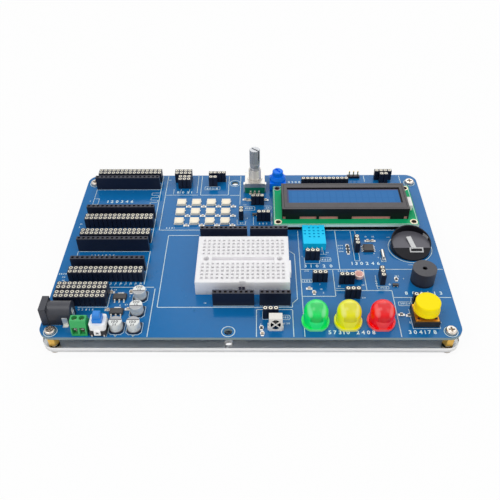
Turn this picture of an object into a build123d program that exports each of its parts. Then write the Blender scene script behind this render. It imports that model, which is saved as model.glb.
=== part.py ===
from build123d import *
import math
import os

# A teaching board for microcontrollers: one large printed circuit board on a clear base plate,
# with sockets for controller boards, a solderless breadboard, a character display and small modules.
# Millimetres. X runs along the board to the right, Y from the front edge to the back, Z up.
# The origin is under the middle of the board, on the surface that the screw heads stand on.

# Main board and base plate
board_length = 200.0
board_width = 130.0
board_thickness = 1.6
board_corner_radius = 6.5
left_edge = -board_length / 2
right_edge = board_length / 2
front_edge = -board_width / 2
rear_edge = board_width / 2
plate_thickness = 3.0
mid_hole_diameter = 4.0

# Fasteners and standoffs
screw_diameter = 3.0
screw_hole_diameter = 3.2
screw_head_diameter = 5.3
screw_head_height = 2.4
top_head_height = 1.8
screw_head_edge = 0.7
screw_recess_depth = 1.4
screw_recess_width = 0.9
screw_recess_length = 3.0
top_screw_length = 4.0
bottom_screw_length = 5.6
thread_gap = 0.05
running_gap = 0.05
standoff_height = 6.0
standoff_across_flats = 5.0
front_hole_x = right_edge - 5.7
rear_hole_x = right_edge - 4.8
front_hole_y = front_edge + 3.7
rear_hole_y = rear_edge - 8.4
mid_hole_x = -10.15

# Heights that everything stands on
plate_bottom = screw_head_height
plate_top = plate_bottom + plate_thickness
board_bottom = plate_top + standoff_height
deck = board_bottom + board_thickness

# Socket strips with square mouths
pitch = 2.54
strip_height = 8.5
strip_mouth = 1.3
strip_contact_width = 0.9
strip_contact_thickness = 0.3
strip_contact_sink = 0.8
strip_floor = 1.0
socket_x = left_edge + 26.4
socket_ways = 15
# Each long strip: middle x, row
long_strips = [
    (left_edge + 26.0, rear_edge - 13.05),
    (socket_x, rear_edge - 41.0),
    (socket_x, -3.5),
    (socket_x, -18.75),
]
shield_corner_x = -44.94
shield_corner_y = -45.94
# Each shield strip: first pin from the shield's corner, row from the corner, ways
shield_strips = [(27.94, 2.54, 8), (50.8, 2.54, 6), (18.796, 50.8, 10), (45.72, 50.8, 8)]

# Round-hole sockets with turned sleeves
round_height = 6.4
flute_width = 0.6
flute_depth = 0.4
sleeve_diameter = 1.8
sleeve_bore = 0.8
sleeve_length = 3.0
sleeve_rise = 0.15
# Each round-hole socket: middle x, middle y, ways along X, ways along Y
breakout_places = [
    (left_edge + 26.25, rear_edge - 4.6, 15, 2),
    (socket_x, 17.1, 15, 2),
    (socket_x, 4.3, 15, 2),
    (socket_x, -25.6, 15, 2),
    (left_edge + 16.8, -36.7, 10, 2),
    (left_edge + 16.8, -42.6, 10, 2),
]
module_socket_places = [
    (-41.4, rear_edge - 5.0, 4, 2),
    (-40.25, rear_edge - 11.1, 3, 2),
    (-20.9, rear_edge - 5.8, 4, 1),
    (-23.3, rear_edge - 10.3, 2, 1),
    (79.4, rear_edge - 4.1, 4, 1),
    (79.4, rear_edge - 7.4, 2, 1),
    (43.6, rear_edge - 11.95, 11, 1),
    (3.55, 36.2, 3, 1),
    (6.95, 21.35, 3, 1),
    (-5.75, 23.5, 1, 2),
    (32.45, -11.0, 3, 1),
    (35.25, -27.4, 3, 1),
    (48.65, -28.9, 3, 1),
    (50.6, -38.9, 3, 1),
    (56.65, -2.5, 1, 3),
    (66.75, -26.75, 1, 3),
    (9.9, front_edge + 13.0, 3, 1),
    (83.1, front_edge + 22.1, 3, 1),
]

# Three-pin male header
male_x = 62.0
male_y = rear_edge - 2.7
male_ways = 3
male_base_height = 1.6
male_base_depth = 2.0
pin_square = 0.64
male_pin_top = 4.8

# Solderless breadboard
bread_x = -3.8
bread_y = -19.83
bread_length = 47.0
bread_width = 34.5
bread_height = 8.5
bread_pad_thickness = 0.8
bread_columns = 17
bread_rows = 5
bread_hole = 1.3
bread_hole_depth = 6.5
bread_bank_offset = 3.81
bread_channel_length = 32.0
bread_channel_width = 2.6
bread_channel_depth = 3.2
bread_screw_hole_diameter = 3.0
bread_screw_hole_spacing = 37.4
bread_clip_width = 1.0
bread_clip_thickness = 0.5
bread_key_length = 8.6
bread_key_depth = 0.8
bread_key_offset = -5.7
bread_notch_width = 3.0
bread_key_height = 4.0

# Character display
lcd_x = 52.52
lcd_y = 30.25
lcd_length = 80.0
lcd_width = 36.0
lcd_thickness = 1.6
lcd_spacer_height = 2.54
lcd_hole_spacing_x = 75.0
lcd_hole_spacing_y = 31.0
lcd_hole_diameter = 2.8
lcd_pin_count = 16
lcd_first_pin_x = 8.0
lcd_pin_edge = 2.5
lcd_pin_above = 1.2
bezel_x = 52.2
bezel_y = 28.8
window_length = 64.0
window_width = 14.0
window_offset_y = 0.8
bezel_side = 3.0
bezel_length = window_length + 2 * bezel_side
bezel_width = 23.8
bezel_height = 7.3
bezel_wall = 0.5
bezel_notch_height = 2.0
# Notches in the bezel's lower edge: distance of the middle from the bezel's middle, and length
bezel_notches = [(-33.9, 1.6), (-20.6, 9.3), (-9.2, 10.5), (14.3, 21.3), (33.4, 1.8)]
glass_thickness = 2.8
light_tab_length = 3.6
light_tab_width = 8.0
light_tab_height = 3.4

# Colour lamps, four columns by three rows
lamp_x = -27.85
lamp_y = 28.25
lamp_columns = 4
lamp_rows = 3
lamp_pitch_x = 8.66
lamp_pitch_y = 8.56
lamp_size = 5.0
lamp_height = 1.6
lamp_window_diameter = 4.0
lamp_window_depth = 0.5
lamp_corner_cut = 0.8
lamp_foot_length = 0.35
lamp_foot_width = 1.0
lamp_foot_thickness = 0.3
lamp_foot_spacing = 3.2

# Traffic-light lamps
traffic_x = [31.2, 46.7, 62.4]
traffic_y = front_edge + 9.8
traffic_diameter = 11.6
traffic_flange_diameter = 13.4
traffic_flange_height = 1.4
traffic_flange_flat = 6.1
traffic_dome_start = 7.3
traffic_lead = 0.6
traffic_lead_spacing = 2.54
traffic_lead_height = 5.6
traffic_short_lead_height = 4.8
traffic_cup_width = 1.8
traffic_cup_depth = 1.4
traffic_cup_height = 1.6
traffic_cup_offset = -0.6

# Rotary encoder
encoder_x = 1.9
encoder_y = rear_edge - 12.6
encoder_width = 11.7
encoder_depth = 11.7
encoder_base_height = 4.2
encoder_height = 7.0
encoder_wall = 0.6
encoder_collar_diameter = 9.0
encoder_collar_height = 0.5
encoder_bushing_diameter = 7.0
encoder_bushing_top = 14.0
encoder_bushing_bore = 6.1
encoder_shaft_diameter = 6.0
encoder_shaft_top = 27.0
encoder_spline_bottom = 17.6
encoder_spline_teeth = 18
encoder_spline_depth = 0.3
encoder_groove_diameter = 5.0
encoder_groove_bottom = 14.8
encoder_groove_top = 16.2
encoder_slot_width = 1.0
encoder_slot_depth = 7.0
encoder_slot_angle = -38.0
encoder_wheel_diameter = 9.6
encoder_wheel_height = 0.8
encoder_stem_diameter = 3.0
encoder_well_diameter = 4.4
encoder_well_depth = 2.6
encoder_pusher_height = 0.8
encoder_pusher_sink = 0.7
encoder_push_travel = 0.5
encoder_wheel_gap = 0.1
encoder_pin_spacing = 2.5
encoder_pin_width = 0.9
encoder_pin_thickness = 0.4
encoder_pin_height = 2.0
encoder_lug_width = 2.5
encoder_lug_thickness = 0.9
encoder_lug_height = 5.6
encoder_lug_inset = 2.5

# Contrast trimmer
trimmer_x = 15.5
trimmer_y = rear_edge - 11.5
trimmer_size = 9.5
trimmer_height = 4.8
trimmer_standoff = 0.4
trimmer_skirt_diameter = 9.3
trimmer_skirt_height = 1.2
trimmer_neck_diameter = 7.4
trimmer_cone_height = 1.9
trimmer_cap_diameter = 6.3
trimmer_cap_height = 3.2
trimmer_cap_edge = 0.5
trimmer_arrow_width = 1.0
trimmer_arrow_length = 4.6
trimmer_arrow_depth = 0.7
trimmer_arrow_angle = 125.0
trimmer_spindle_diameter = 4.0
trimmer_spindle_depth = 2.4
trimmer_spindle_gap = 0.2
trimmer_tip_length = 1.6
trimmer_leg = 0.6

# Push button
button_x = right_edge - 16.6
button_y = front_edge + 12.2
button_size = 12.0
button_base_height = 3.5
button_plate_size = 11.0
button_plate_thickness = 0.4
button_stud_diameter = 1.4
button_stud_height = 0.3
button_stud_inset = 1.9
button_well_diameter = 7.4
button_well_floor = 0.8
button_plunger_diameter = 6.8
button_plunger_flange = 7.2
button_stem_size = 3.8
button_stem_top = 9.2
button_travel = 0.5
button_press_gap = 0.1
button_cap_bottom = 6.2
button_cap_top = 11.9
button_cap_diameter = 11.8
button_cap_rim_diameter = 12.4
button_cap_rim_height = 1.3
button_cap_edge = 0.6
button_dome_diameter = 5.6
button_dome_height = 0.5
button_dome_thickness = 0.15

# Humidity sensor
humid_x = 34.1
humid_y = 3.55
humid_width = 12.0
humid_length = 15.5
humid_height = 4.7
humid_wall = 0.8
humid_slot_length = 1.1
humid_slot_width = 0.9
# Slots in each row, from the front row to the back one
humid_slot_rows = [3, 5, 5, 3, 3]
humid_slot_pitch_x = 2.44
humid_slot_pitch_y = 2.5
humid_slot_offset_y = 2.95
humid_board_thickness = 1.0
humid_element_width = 6.0
humid_element_length = 7.0
humid_element_height = 0.8
humid_lead_height = 2.2
humid_lead_width = 0.5
humid_lead_reach = 1.5
humid_lead_count = 4

# Clock chip, crystal and coin cell holder
clock_x = 62.9
clock_y = -3.5
clock_body_width = 5.3
clock_body_length = 4.9
clock_body_height = 1.5
clock_leg_pitch = 1.27
clock_leg_count = 4
clock_leg_reach = 1.05
clock_leg_width = 0.42
clock_leg_rise = 0.7
clock_gap = 0.1
clock_dimple_diameter = 0.7
clock_dimple_inset = 0.8
leg_knee_share = 0.45
crystal_x = 69.9
crystal_y = -8.6
crystal_diameter = 2.0
crystal_length = 6.0
crystal_lead = 0.35
crystal_lead_reach = 1.6
crystal_lead_spacing = 1.0
holder_x = right_edge - 14.6
holder_y = -2.3
holder_diameter = 21.2
holder_wall = 0.6
holder_floor = 3.3
holder_back_height = 7.2
holder_lip_height = 0.8
holder_ramp_length = 7.0
contact_thickness = 0.3
contact_frame_length = 7.2
contact_frame_depth = 3.0
contact_frame_edge = 0.7
contact_frame_x = holder_x + 2.2
tongue_width = 2.6
tongue_length = 8.6
tongue_rise = 1.1
tongue_turn = 13.0
tongue_root = 0.6
tongue_offset = -1.2
side_contact_length = 4.0
side_contact_rise = 1.6
side_contact_angle = 28.0

# Buzzer
buzzer_x = right_edge - 12.7
buzzer_y = -27.1
buzzer_diameter = 12.0
buzzer_height = 8.5
buzzer_wall = 0.8
buzzer_hole_diameter = 2.4
buzzer_base_thickness = 1.4
buzzer_coil_diameter = 6.0
buzzer_coil_height = 4.0
buzzer_disc_thickness = 0.2
buzzer_disc_gap = 0.25
buzzer_ledge_width = 0.6

# Light sensor
light_x = 55.0
light_y = -26.2
light_diameter = 5.0
light_thickness = 1.8
light_bottom = 2.0
light_lead = 0.4
light_lead_spacing = 3.4

# Infrared receiver
infrared_x = 12.15
infrared_front_y = front_edge + 4.0
infrared_width = 6.3
infrared_depth = 3.9
infrared_height = 8.4
infrared_wall = 0.3
infrared_window_width = 4.8
infrared_window_height = 6.6
infrared_window_bottom = 1.0
infrared_bar = 0.6
infrared_lens_gap = 0.4
infrared_lens_headroom = 1.0
infrared_foot_offset = 1.0
infrared_foot_width = 0.9
infrared_foot_height = 2.0
infrared_foot_reach = 0.6

# Power socket
jack_inset = 1.2
jack_x = left_edge + jack_inset
jack_y = front_edge + 11.9
jack_length = 14.2
jack_width = 9.0
jack_height = 11.0
jack_flange = 3.2
jack_barrel_radius = 4.2
jack_axis_height = 6.4
jack_bore_diameter = 6.4
jack_bore_depth = 10.0
jack_pin_diameter = 2.1
jack_pin_tip = 0.5
jack_pin_inset = 1.0
jack_lug_inset = 3.0
jack_lug_height = 5.0
jack_foot_reach = 1.6
jack_contact_thickness = 0.3
jack_contact_width = 2.6

# Screw terminal
terminal_x = left_edge + 20.35
terminal_front_y = front_edge + 0.9
terminal_pitch = 3.5
terminal_side_wall = 0.4
terminal_height = 9.0
terminal_depth_bottom = 7.8
terminal_depth_top = 3.9
terminal_front_step = 1.2
terminal_front_height = 3.0
terminal_rear_height = 2.5
terminal_mouth_width = 2.7
terminal_mouth_height = 4.2
terminal_mouth_floor = 1.0
terminal_screw_inset = 3.4
terminal_screw_head_diameter = 2.3
terminal_screw_head_height = 1.2
terminal_screw_top = 7.4
terminal_screw_shank_diameter = 1.6
terminal_screw_slot = 0.5
terminal_access_diameter = 2.7
terminal_cage_depth = 3.0
terminal_cage_width = 2.5
terminal_cage_height = 3.4
terminal_cage_wall = 0.5
terminal_cage_gap = 0.1
terminal_bar_thickness = 0.4
terminal_bar_inset = 1.0
terminal_slot_depth = 0.6

# Power switch
switch_x = left_edge + 29.1
switch_y = front_edge + 4.85
switch_length = 7.6
switch_depth = 8.4
switch_base_height = 3.4
switch_cover_depth = 7.6
switch_cover_height = 3.6
switch_cover_wall = 1.0
switch_cover_radius = 1.2
switch_block_length = 4.4
switch_block_depth = 4.4
switch_block_top = 9.0
switch_stem_length = 3.5
switch_stem_depth = 3.4
switch_stem_top = 12.0
switch_stem_edge = 0.5
switch_well_floor = 1.0
switch_slider_bottom = 4.0
switch_slide_gap = 0.08
switch_flange = 0.5
switch_flange_height = 0.8
switch_tab_width = 3.0
switch_tab_depth = 0.6
switch_tab_height = 2.6
switch_tab_hole = 1.4
switch_tab_thickness = 0.6
switch_pin_spacing = 2.9
switch_pin_width = 0.6
switch_pin_thickness = 0.3
switch_pin_height = 1.2

# Electrolytic capacitors
can_places = [
    (left_edge + 45.3, front_edge + 26.1),
    (left_edge + 45.2, front_edge + 16.0),
    (left_edge + 36.9, front_edge + 5.5),
    (left_edge + 45.3, front_edge + 5.4),
]
can_diameter = 6.3
can_height = 5.6
can_base_size = 6.6
can_base_height = 0.9
can_base_cut = 1.4
can_neck_height = 1.2
can_neck_depth = 0.25
can_neck_width = 0.5
can_edge = 0.3

# Voltage regulators
regulator_places = [(left_edge + 35.3, front_edge + 25.6), (left_edge + 35.2, front_edge + 15.8)]
regulator_length = 6.5
regulator_width = 3.5
regulator_height = 1.7
regulator_leg_width = 0.7
regulator_leg_pitch = 2.3
regulator_leg_reach = 1.7
regulator_tab_width = 3.0
regulator_gap = 0.05
regulator_edge = 0.25
regulator_leg_knee = 0.7
regulator_leg_rise = 0.8
leg_thickness = 0.25

# Small chips: x, y, and whether it lies along Y
chip_length = 2.0
chip_width = 1.25
chip_height = 0.6
chip_end = 0.4
chip_cap_proud = 0.02
lamp_chip_offset_x = 4.3
lamp_chip_offset_y = -3.2
resistor_places = [
    (51.9, -1.1, False),
    (51.9, -3.65, False),
    (51.9, -6.2, False),
    (74.2, -26.4, False),
    (button_x - 6.9, button_y + 1.5, True),
    (button_x - 10.5, button_y + 2.0, True),
    (5.5, front_edge + 5.9, False),
    (-3.7, 40.2, True),
    (-1.4, 39.6, True),
    (8.3, 39.8, True),
]
capacitor_places = [
    (63.4, 3.1, True),
    (66.1, 3.1, True),
    (left_edge + 30.4, front_edge + 29.3, True),
    (left_edge + 30.6, front_edge + 17.4, True),
    (left_edge + 40.3, front_edge + 29.7, False),
    (left_edge + 40.4, front_edge + 17.8, True),
    (5.9, front_edge + 2.4, False),
    (29.6, -33.2, True),
    (31.9, -35.9, False),
]
transistor_places = [(73.1, -31.0), (2.0, 25.9)]
transistor_length = 2.9
transistor_width = 1.4
transistor_height = 1.1
transistor_gap = 0.1
transistor_leg_spacing = 1.9
transistor_leg_width = 0.45
transistor_leg_reach = 0.5
transistor_leg_height = 0.35

os.makedirs("parts", exist_ok=True)
upright = (Align.CENTER, Align.CENTER, Align.MIN)


def block(x, y, z, length, depth, height):
    "A box with the middle of its underside at x, y, z."
    return Pos(x, y, z) * Box(length, depth, height, align=upright)


def rod(x, y, z, diameter, height):
    "An upright cylinder with the middle of its underside at x, y, z."
    return Pos(x, y, z) * Cylinder(diameter / 2, height, align=upright)


def tube(x, y, z, outer, inner, height):
    "An upright tube."
    return Pos(x, y, z) * extrude(Circle(outer / 2) - Circle(inner / 2), height)


def copies(shape, places):
    "The shape at each place, as separate solids."
    return [Pos(*place) * shape for place in places]


def save(node, *shapes):
    "Writes all the solids of one node to its file."
    solids = [solid for shape in shapes for solid in shape.solids()]
    export_step(Compound(solids), f"parts/{node}.step")


corner_rows = [(front_hole_x, front_hole_y), (rear_hole_x, rear_hole_y)]
corner_holes = [(side * x, y) for side in (-1, 1) for x, y in corner_rows]
mid_holes = [(mid_hole_x, front_hole_y), (mid_hole_x, rear_hole_y)]


def sheet_with_holes(thickness):
    "The outline that the board and the base plate share, with the screw holes and the two middle holes."
    outline = RectangleRounded(board_length, board_width, board_corner_radius)
    holes = [Pos(x, y) * Circle(screw_hole_diameter / 2) for x, y in corner_holes]
    holes += [Pos(x, y) * Circle(mid_hole_diameter / 2) for x, y in mid_holes]
    return extrude(outline - holes, thickness)


def pan_screw(head_height, length):
    "A pan head screw with a cross recess, head upwards, its seat at the origin."
    head = Cylinder(screw_head_diameter / 2, head_height, align=upright)
    head = fillet(head.edges().sort_by(Axis.Z)[-1], screw_head_edge)
    floor = head_height - screw_recess_depth
    arm = block(0, 0, floor, screw_recess_length, screw_recess_width, head_height)
    recess = arm + Rot(0, 0, 90) * arm
    shank = rod(0, 0, -length, screw_diameter - 2 * thread_gap, length)
    return head + shank - recess


def standoff():
    "A hexagonal spacer, threaded right through."
    hexagon = RegularPolygon(standoff_across_flats / 2, 6, major_radius=False)
    return extrude(hexagon - Circle(screw_diameter / 2), standoff_height)


def socket_strip(ways):
    "A single-row strip with square mouths, its middle at the origin."
    body = block(0, 0, 0, ways * pitch, pitch, strip_height)
    mouths = [
        block(x, 0, strip_floor, strip_mouth, strip_mouth, strip_height) for x in way_positions(ways)
    ]
    return body - mouths


def strip_contacts(ways):
    "One spring leaf in each mouth of a strip, against the rear wall."
    y = strip_mouth / 2 - strip_contact_thickness / 2
    height = strip_height - strip_floor - strip_contact_sink
    return [
        block(x, y, strip_floor, strip_contact_width, strip_contact_thickness, height)
        for x in way_positions(ways)
    ]


def way_positions(ways):
    "The x of each way of a row that is centred on the origin."
    return [(index - (ways - 1) / 2) * pitch for index in range(ways)]


def fluted_outline(ways, rows):
    "A socket's outline, with a small groove between each pair of ways on both long sides."
    half_length = ways * pitch / 2
    half_depth = rows * pitch / 2
    front = [(-half_length, -half_depth)]
    for index in range(1, ways):
        x = -half_length + index * pitch
        front += [
            (x - flute_width / 2, -half_depth),
            (x, flute_depth - half_depth),
            (x + flute_width / 2, -half_depth),
        ]
    front += [(half_length, -half_depth)]
    back = [(-x, -y) for x, y in front]
    return Polygon(*front, *back, align=None)


def round_socket(ways, rows):
    "A round-hole socket body, long side along X."
    wells = [place * Circle(sleeve_diameter / 2) for place in GridLocations(pitch, pitch, ways, rows)]
    body = extrude(fluted_outline(ways, rows), round_height)
    cut = extrude(Pos(0, 0, round_height - sleeve_length) * (Sketch() + wells), sleeve_length)
    return body - cut


def placed_round_socket(x, y, ways, rows):
    "A round-hole socket on the board; one whose ways run along Y is turned."
    if rows > ways:
        return Pos(x, y, deck) * Rot(0, 0, 90) * round_socket(rows, ways)
    return Pos(x, y, deck) * round_socket(ways, rows)


def sleeves_of(places):
    "The turned sleeves of a list of sockets."
    sleeve = tube(0, 0, 0, sleeve_diameter, sleeve_bore, sleeve_length + sleeve_rise)
    z = deck + round_height - sleeve_length
    solids = []
    for x, y, ways, rows in places:
        for place in GridLocations(pitch, pitch, ways, rows):
            solids.append(Pos(x + place.position.X, y + place.position.Y, z) * sleeve)
    return solids


def strip_places():
    "The middle and the ways of each square-mouth strip, first the long ones, then the shield outline's."
    places = [(x, y, socket_ways) for x, y in long_strips]
    for first, row, ways in shield_strips:
        middle = shield_corner_x + first + (ways - 1) * pitch / 2
        places.append((middle, shield_corner_y + row, ways))
    return places


def male_header():
    "The insulating base and the pins of the male header."
    base = block(male_x, male_y, deck, male_ways * pitch, male_base_depth, male_base_height)
    bores = [
        block(male_x + x, male_y, deck, pin_square, pin_square, male_base_height)
        for x in way_positions(male_ways)
    ]
    pins = [
        block(male_x + x, male_y, deck, pin_square, pin_square, male_pin_top)
        for x in way_positions(male_ways)
    ]
    return base - bores, pins


bread_bottom = deck + bread_pad_thickness


def bread_hole_places():
    "The middle of every hole: two banks of five rows."
    places = []
    for side in (-1, 1):
        middle = side * (bread_bank_offset + (bread_rows - 1) * pitch / 2)
        places += [
            (bread_x + place.position.X, bread_y + middle + place.position.Y)
            for place in GridLocations(pitch, pitch, bread_columns, bread_rows)
        ]
    return places


def breadboard():
    "The block with its holes, centre channel, screw holes and keys."
    body = block(bread_x, bread_y, bread_bottom, bread_length, bread_width, bread_height - bread_pad_thickness)
    top = deck + bread_height
    hole = Rectangle(bread_hole, bread_hole)
    holes = [Pos(x, y) * hole for x, y in bread_hole_places()]
    body -= extrude(Pos(0, 0, top - bread_hole_depth) * (Sketch() + holes), bread_hole_depth)
    body -= block(
        bread_x, bread_y, top - bread_channel_depth, bread_channel_length, bread_channel_width, bread_channel_depth
    )
    for side in (-1, 1):
        x = bread_x + side * bread_screw_hole_spacing / 2
        body -= rod(x, bread_y, bread_bottom, bread_screw_hole_diameter, bread_height)
    key_z = top - bread_key_height
    front_y = bread_y - bread_width / 2
    body -= block(
        bread_x, front_y + bread_key_depth / 2, key_z, bread_notch_width, bread_key_depth, bread_key_height
    )
    key_x = bread_x + (bread_length + bread_key_depth) / 2
    key_y = bread_y + bread_key_offset
    return body + block(key_x, key_y, key_z, bread_key_depth, bread_key_length, bread_key_height)


def bread_clips():
    "One strip of spring metal for the five holes of each column, on the floor of the holes."
    span = (bread_rows - 1) * pitch + bread_hole
    z = deck + bread_height - bread_hole_depth
    clips = []
    for side in (-1, 1):
        y = bread_y + side * (bread_bank_offset + (bread_rows - 1) * pitch / 2)
        for index in range(bread_columns):
            x = bread_x + (index - (bread_columns - 1) / 2) * pitch
            slot = block(x, y, z - bread_clip_thickness, bread_clip_width, span, bread_clip_thickness)
            clips.append(slot)
    return clips


def breadboard_pad():
    "The foam pad under the block, cut out at the screw holes."
    pad = block(bread_x, bread_y, deck, bread_length, bread_width, bread_pad_thickness)
    for side in (-1, 1):
        x = bread_x + side * bread_screw_hole_spacing / 2
        pad -= rod(x, bread_y, deck, bread_screw_hole_diameter, bread_pad_thickness)
    return pad


lcd_bottom = deck + lcd_spacer_height
lcd_top = lcd_bottom + lcd_thickness
lcd_pin_y = lcd_y + lcd_width / 2 - lcd_pin_edge
lcd_pins_x = [lcd_x - lcd_length / 2 + lcd_first_pin_x + index * pitch for index in range(lcd_pin_count)]
light_guide_top = lcd_top + bezel_height - bezel_wall - glass_thickness


def lcd_board():
    "The display's own board with its four holes and its row of pin holes."
    board = block(lcd_x, lcd_y, lcd_bottom, lcd_length, lcd_width, lcd_thickness)
    for place in GridLocations(lcd_hole_spacing_x, lcd_hole_spacing_y, 2, 2):
        x = lcd_x + place.position.X
        y = lcd_y + place.position.Y
        board -= rod(x, y, lcd_bottom, lcd_hole_diameter, lcd_thickness)
    for x in lcd_pins_x:
        board -= block(x, lcd_pin_y, lcd_bottom, pin_square, pin_square, lcd_thickness)
    return board


def lcd_header():
    "The spacer and pins that carry the display."
    middle = (lcd_pins_x[0] + lcd_pins_x[-1]) / 2
    spacer = block(middle, lcd_pin_y, deck, lcd_pin_count * pitch, pitch, lcd_spacer_height)
    bores = [block(x, lcd_pin_y, deck, pin_square, pin_square, lcd_spacer_height) for x in lcd_pins_x]
    height = lcd_spacer_height + lcd_thickness + lcd_pin_above
    pins = [block(x, lcd_pin_y, deck, pin_square, pin_square, height) for x in lcd_pins_x]
    return spacer - bores, pins


def bezel():
    "The folded metal frame: window, walls, and notches along the lower edge of the front and back walls."
    shell = block(bezel_x, bezel_y, lcd_top, bezel_length, bezel_width, bezel_height)
    shell -= block(
        bezel_x,
        bezel_y,
        lcd_top,
        bezel_length - 2 * bezel_wall,
        bezel_width - 2 * bezel_wall,
        bezel_height - bezel_wall,
    )
    shell -= block(bezel_x, bezel_y + window_offset_y, lcd_top, window_length, window_width, bezel_height)
    for offset, length in bezel_notches:
        shell -= block(bezel_x + offset, bezel_y, lcd_top, length, bezel_width, bezel_notch_height)
    shell -= light_tab()
    return shell


def light_tab():
    "The end of the light guide, which passes through the bezel's right wall."
    x = bezel_x + bezel_length / 2 - bezel_wall + (light_tab_length + bezel_wall) / 2
    return block(x, bezel_y, lcd_top, light_tab_length + bezel_wall, light_tab_width, light_tab_height)


def light_guide():
    "The diffusing block under the glass."
    length = bezel_length - 2 * bezel_wall
    width = bezel_width - 2 * bezel_wall
    return block(bezel_x, bezel_y, lcd_top, length, width, light_guide_top - lcd_top) + light_tab()


def lcd_glass():
    "The two glass plates with the liquid between them, as one sealed cell."
    length = bezel_length - 2 * bezel_wall - 0.2
    width = bezel_width - 2 * bezel_wall - 0.2
    return block(bezel_x, bezel_y, light_guide_top, length, width, glass_thickness)


def lamp_places():
    "The middle of each colour lamp."
    grid = GridLocations(lamp_pitch_x, lamp_pitch_y, lamp_columns, lamp_rows)
    return [(lamp_x + place.position.X, lamp_y + place.position.Y, deck) for place in grid]


def lamp_body():
    "A square lamp with one cut corner and a round well."
    outline = Rectangle(lamp_size, lamp_size)
    corner = outline.vertices().sort_by(Axis.X)[-2:].sort_by(Axis.Y)[0]
    body = extrude(chamfer(corner, lamp_corner_cut), lamp_height)
    return body - rod(0, 0, lamp_height - lamp_window_depth, lamp_window_diameter, lamp_window_depth)


def lamp_feet():
    "The four soldered feet of one lamp, as one list."
    reach = lamp_size / 2 + lamp_foot_length / 2
    return [
        block(side * reach, end * lamp_foot_spacing / 2, 0, lamp_foot_length, lamp_foot_width, lamp_foot_thickness)
        for side in (-1, 1)
        for end in (-1, 1)
    ]


def traffic_lamp(x):
    "A large round lamp: flange with one flat, barrel and dome, with a slot for each lead."
    radius = traffic_diameter / 2
    barrel = rod(x, traffic_y, deck, traffic_diameter, traffic_dome_start)
    dome = Pos(x, traffic_y, deck + traffic_dome_start) * Sphere(radius)
    flange = rod(x, traffic_y, deck, traffic_flange_diameter, traffic_flange_height)
    beyond_y = traffic_y - traffic_flange_flat - radius / 2
    beyond = block(x, beyond_y, deck, traffic_flange_diameter, radius, traffic_flange_height)
    lamp = barrel + dome + (flange - beyond)
    for lead in traffic_leads(x):
        lamp -= lead
    return lamp


def traffic_leads(x):
    "The two leads of a lamp; the taller one carries the cup with the chip."
    left = block(
        x - traffic_lead_spacing / 2, traffic_y, deck, traffic_lead, traffic_lead, traffic_short_lead_height
    )
    right = block(
        x + traffic_lead_spacing / 2, traffic_y, deck, traffic_lead, traffic_lead, traffic_lead_height
    )
    cup_x = x + traffic_lead_spacing / 2 + traffic_cup_offset
    cup_z = deck + traffic_lead_height - traffic_cup_height
    cup = block(cup_x, traffic_y, cup_z, traffic_cup_width, traffic_cup_depth, traffic_cup_height)
    return [left, right + cup]


def encoder_housing():
    "The cast cover with its threaded neck and collar, bored for the shaft."
    height = encoder_height - encoder_base_height
    foot = deck + encoder_base_height
    seat = deck + encoder_height
    cover = block(encoder_x, encoder_y, foot, encoder_width, encoder_depth, height)
    cover -= block(
        encoder_x,
        encoder_y,
        foot,
        encoder_width - 2 * encoder_wall,
        encoder_depth - 2 * encoder_wall,
        height - encoder_wall,
    )
    neck_height = encoder_bushing_top - encoder_height
    cover += rod(encoder_x, encoder_y, seat, encoder_bushing_diameter, neck_height)
    cover += rod(encoder_x, encoder_y, seat, encoder_collar_diameter, encoder_collar_height)
    return cover - rod(encoder_x, encoder_y, foot, encoder_bushing_bore, encoder_bushing_top)


def encoder_base():
    "The phenolic base with the well of the push switch."
    base = block(encoder_x, encoder_y, deck, encoder_width, encoder_depth, encoder_base_height)
    return base - rod(
        encoder_x,
        encoder_y,
        deck + encoder_base_height - encoder_well_depth,
        encoder_well_diameter,
        encoder_well_depth,
    )


encoder_pusher_top = deck + encoder_base_height - encoder_pusher_sink
encoder_wheel_bottom = deck + encoder_base_height + encoder_push_travel + encoder_wheel_gap


def encoder_shaft():
    "The shaft: plain in the bushing, a clip groove, a splined head with a slot, and a thin stem below."
    core = rod(
        encoder_x,
        encoder_y,
        encoder_wheel_bottom + encoder_wheel_height,
        encoder_shaft_diameter,
        deck + encoder_spline_bottom - encoder_wheel_bottom - encoder_wheel_height,
    )
    groove = tube(
        encoder_x,
        encoder_y,
        deck + encoder_groove_bottom,
        encoder_shaft_diameter,
        encoder_groove_diameter,
        encoder_groove_top - encoder_groove_bottom,
    )
    outer = encoder_shaft_diameter / 2
    points = []
    for tooth in range(encoder_spline_teeth):
        angle = 2 * math.pi * tooth / encoder_spline_teeth
        half = math.pi / encoder_spline_teeth
        points.append((outer * math.cos(angle), outer * math.sin(angle)))
        root = outer - encoder_spline_depth
        points.append((root * math.cos(angle + half), root * math.sin(angle + half)))
    height = encoder_shaft_top - encoder_spline_bottom
    spline = Pos(encoder_x, encoder_y, deck + encoder_spline_bottom) * extrude(
        Polygon(*points, align=None), height
    )
    slot = block(0, 0, 0, 2 * encoder_shaft_diameter, encoder_slot_width, encoder_slot_depth)
    slot = Pos(encoder_x, encoder_y, deck + encoder_shaft_top - encoder_slot_depth) * Rot(
        0, 0, encoder_slot_angle
    ) * slot
    stem = rod(
        encoder_x,
        encoder_y,
        encoder_pusher_top,
        encoder_stem_diameter,
        encoder_wheel_bottom + encoder_wheel_height - encoder_pusher_top,
    )
    return core - groove + spline + stem - slot


def encoder_wheel():
    "The contact wheel that turns with the shaft."
    return tube(
        encoder_x,
        encoder_y,
        encoder_wheel_bottom,
        encoder_wheel_diameter,
        encoder_stem_diameter,
        encoder_wheel_height,
    )


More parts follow.
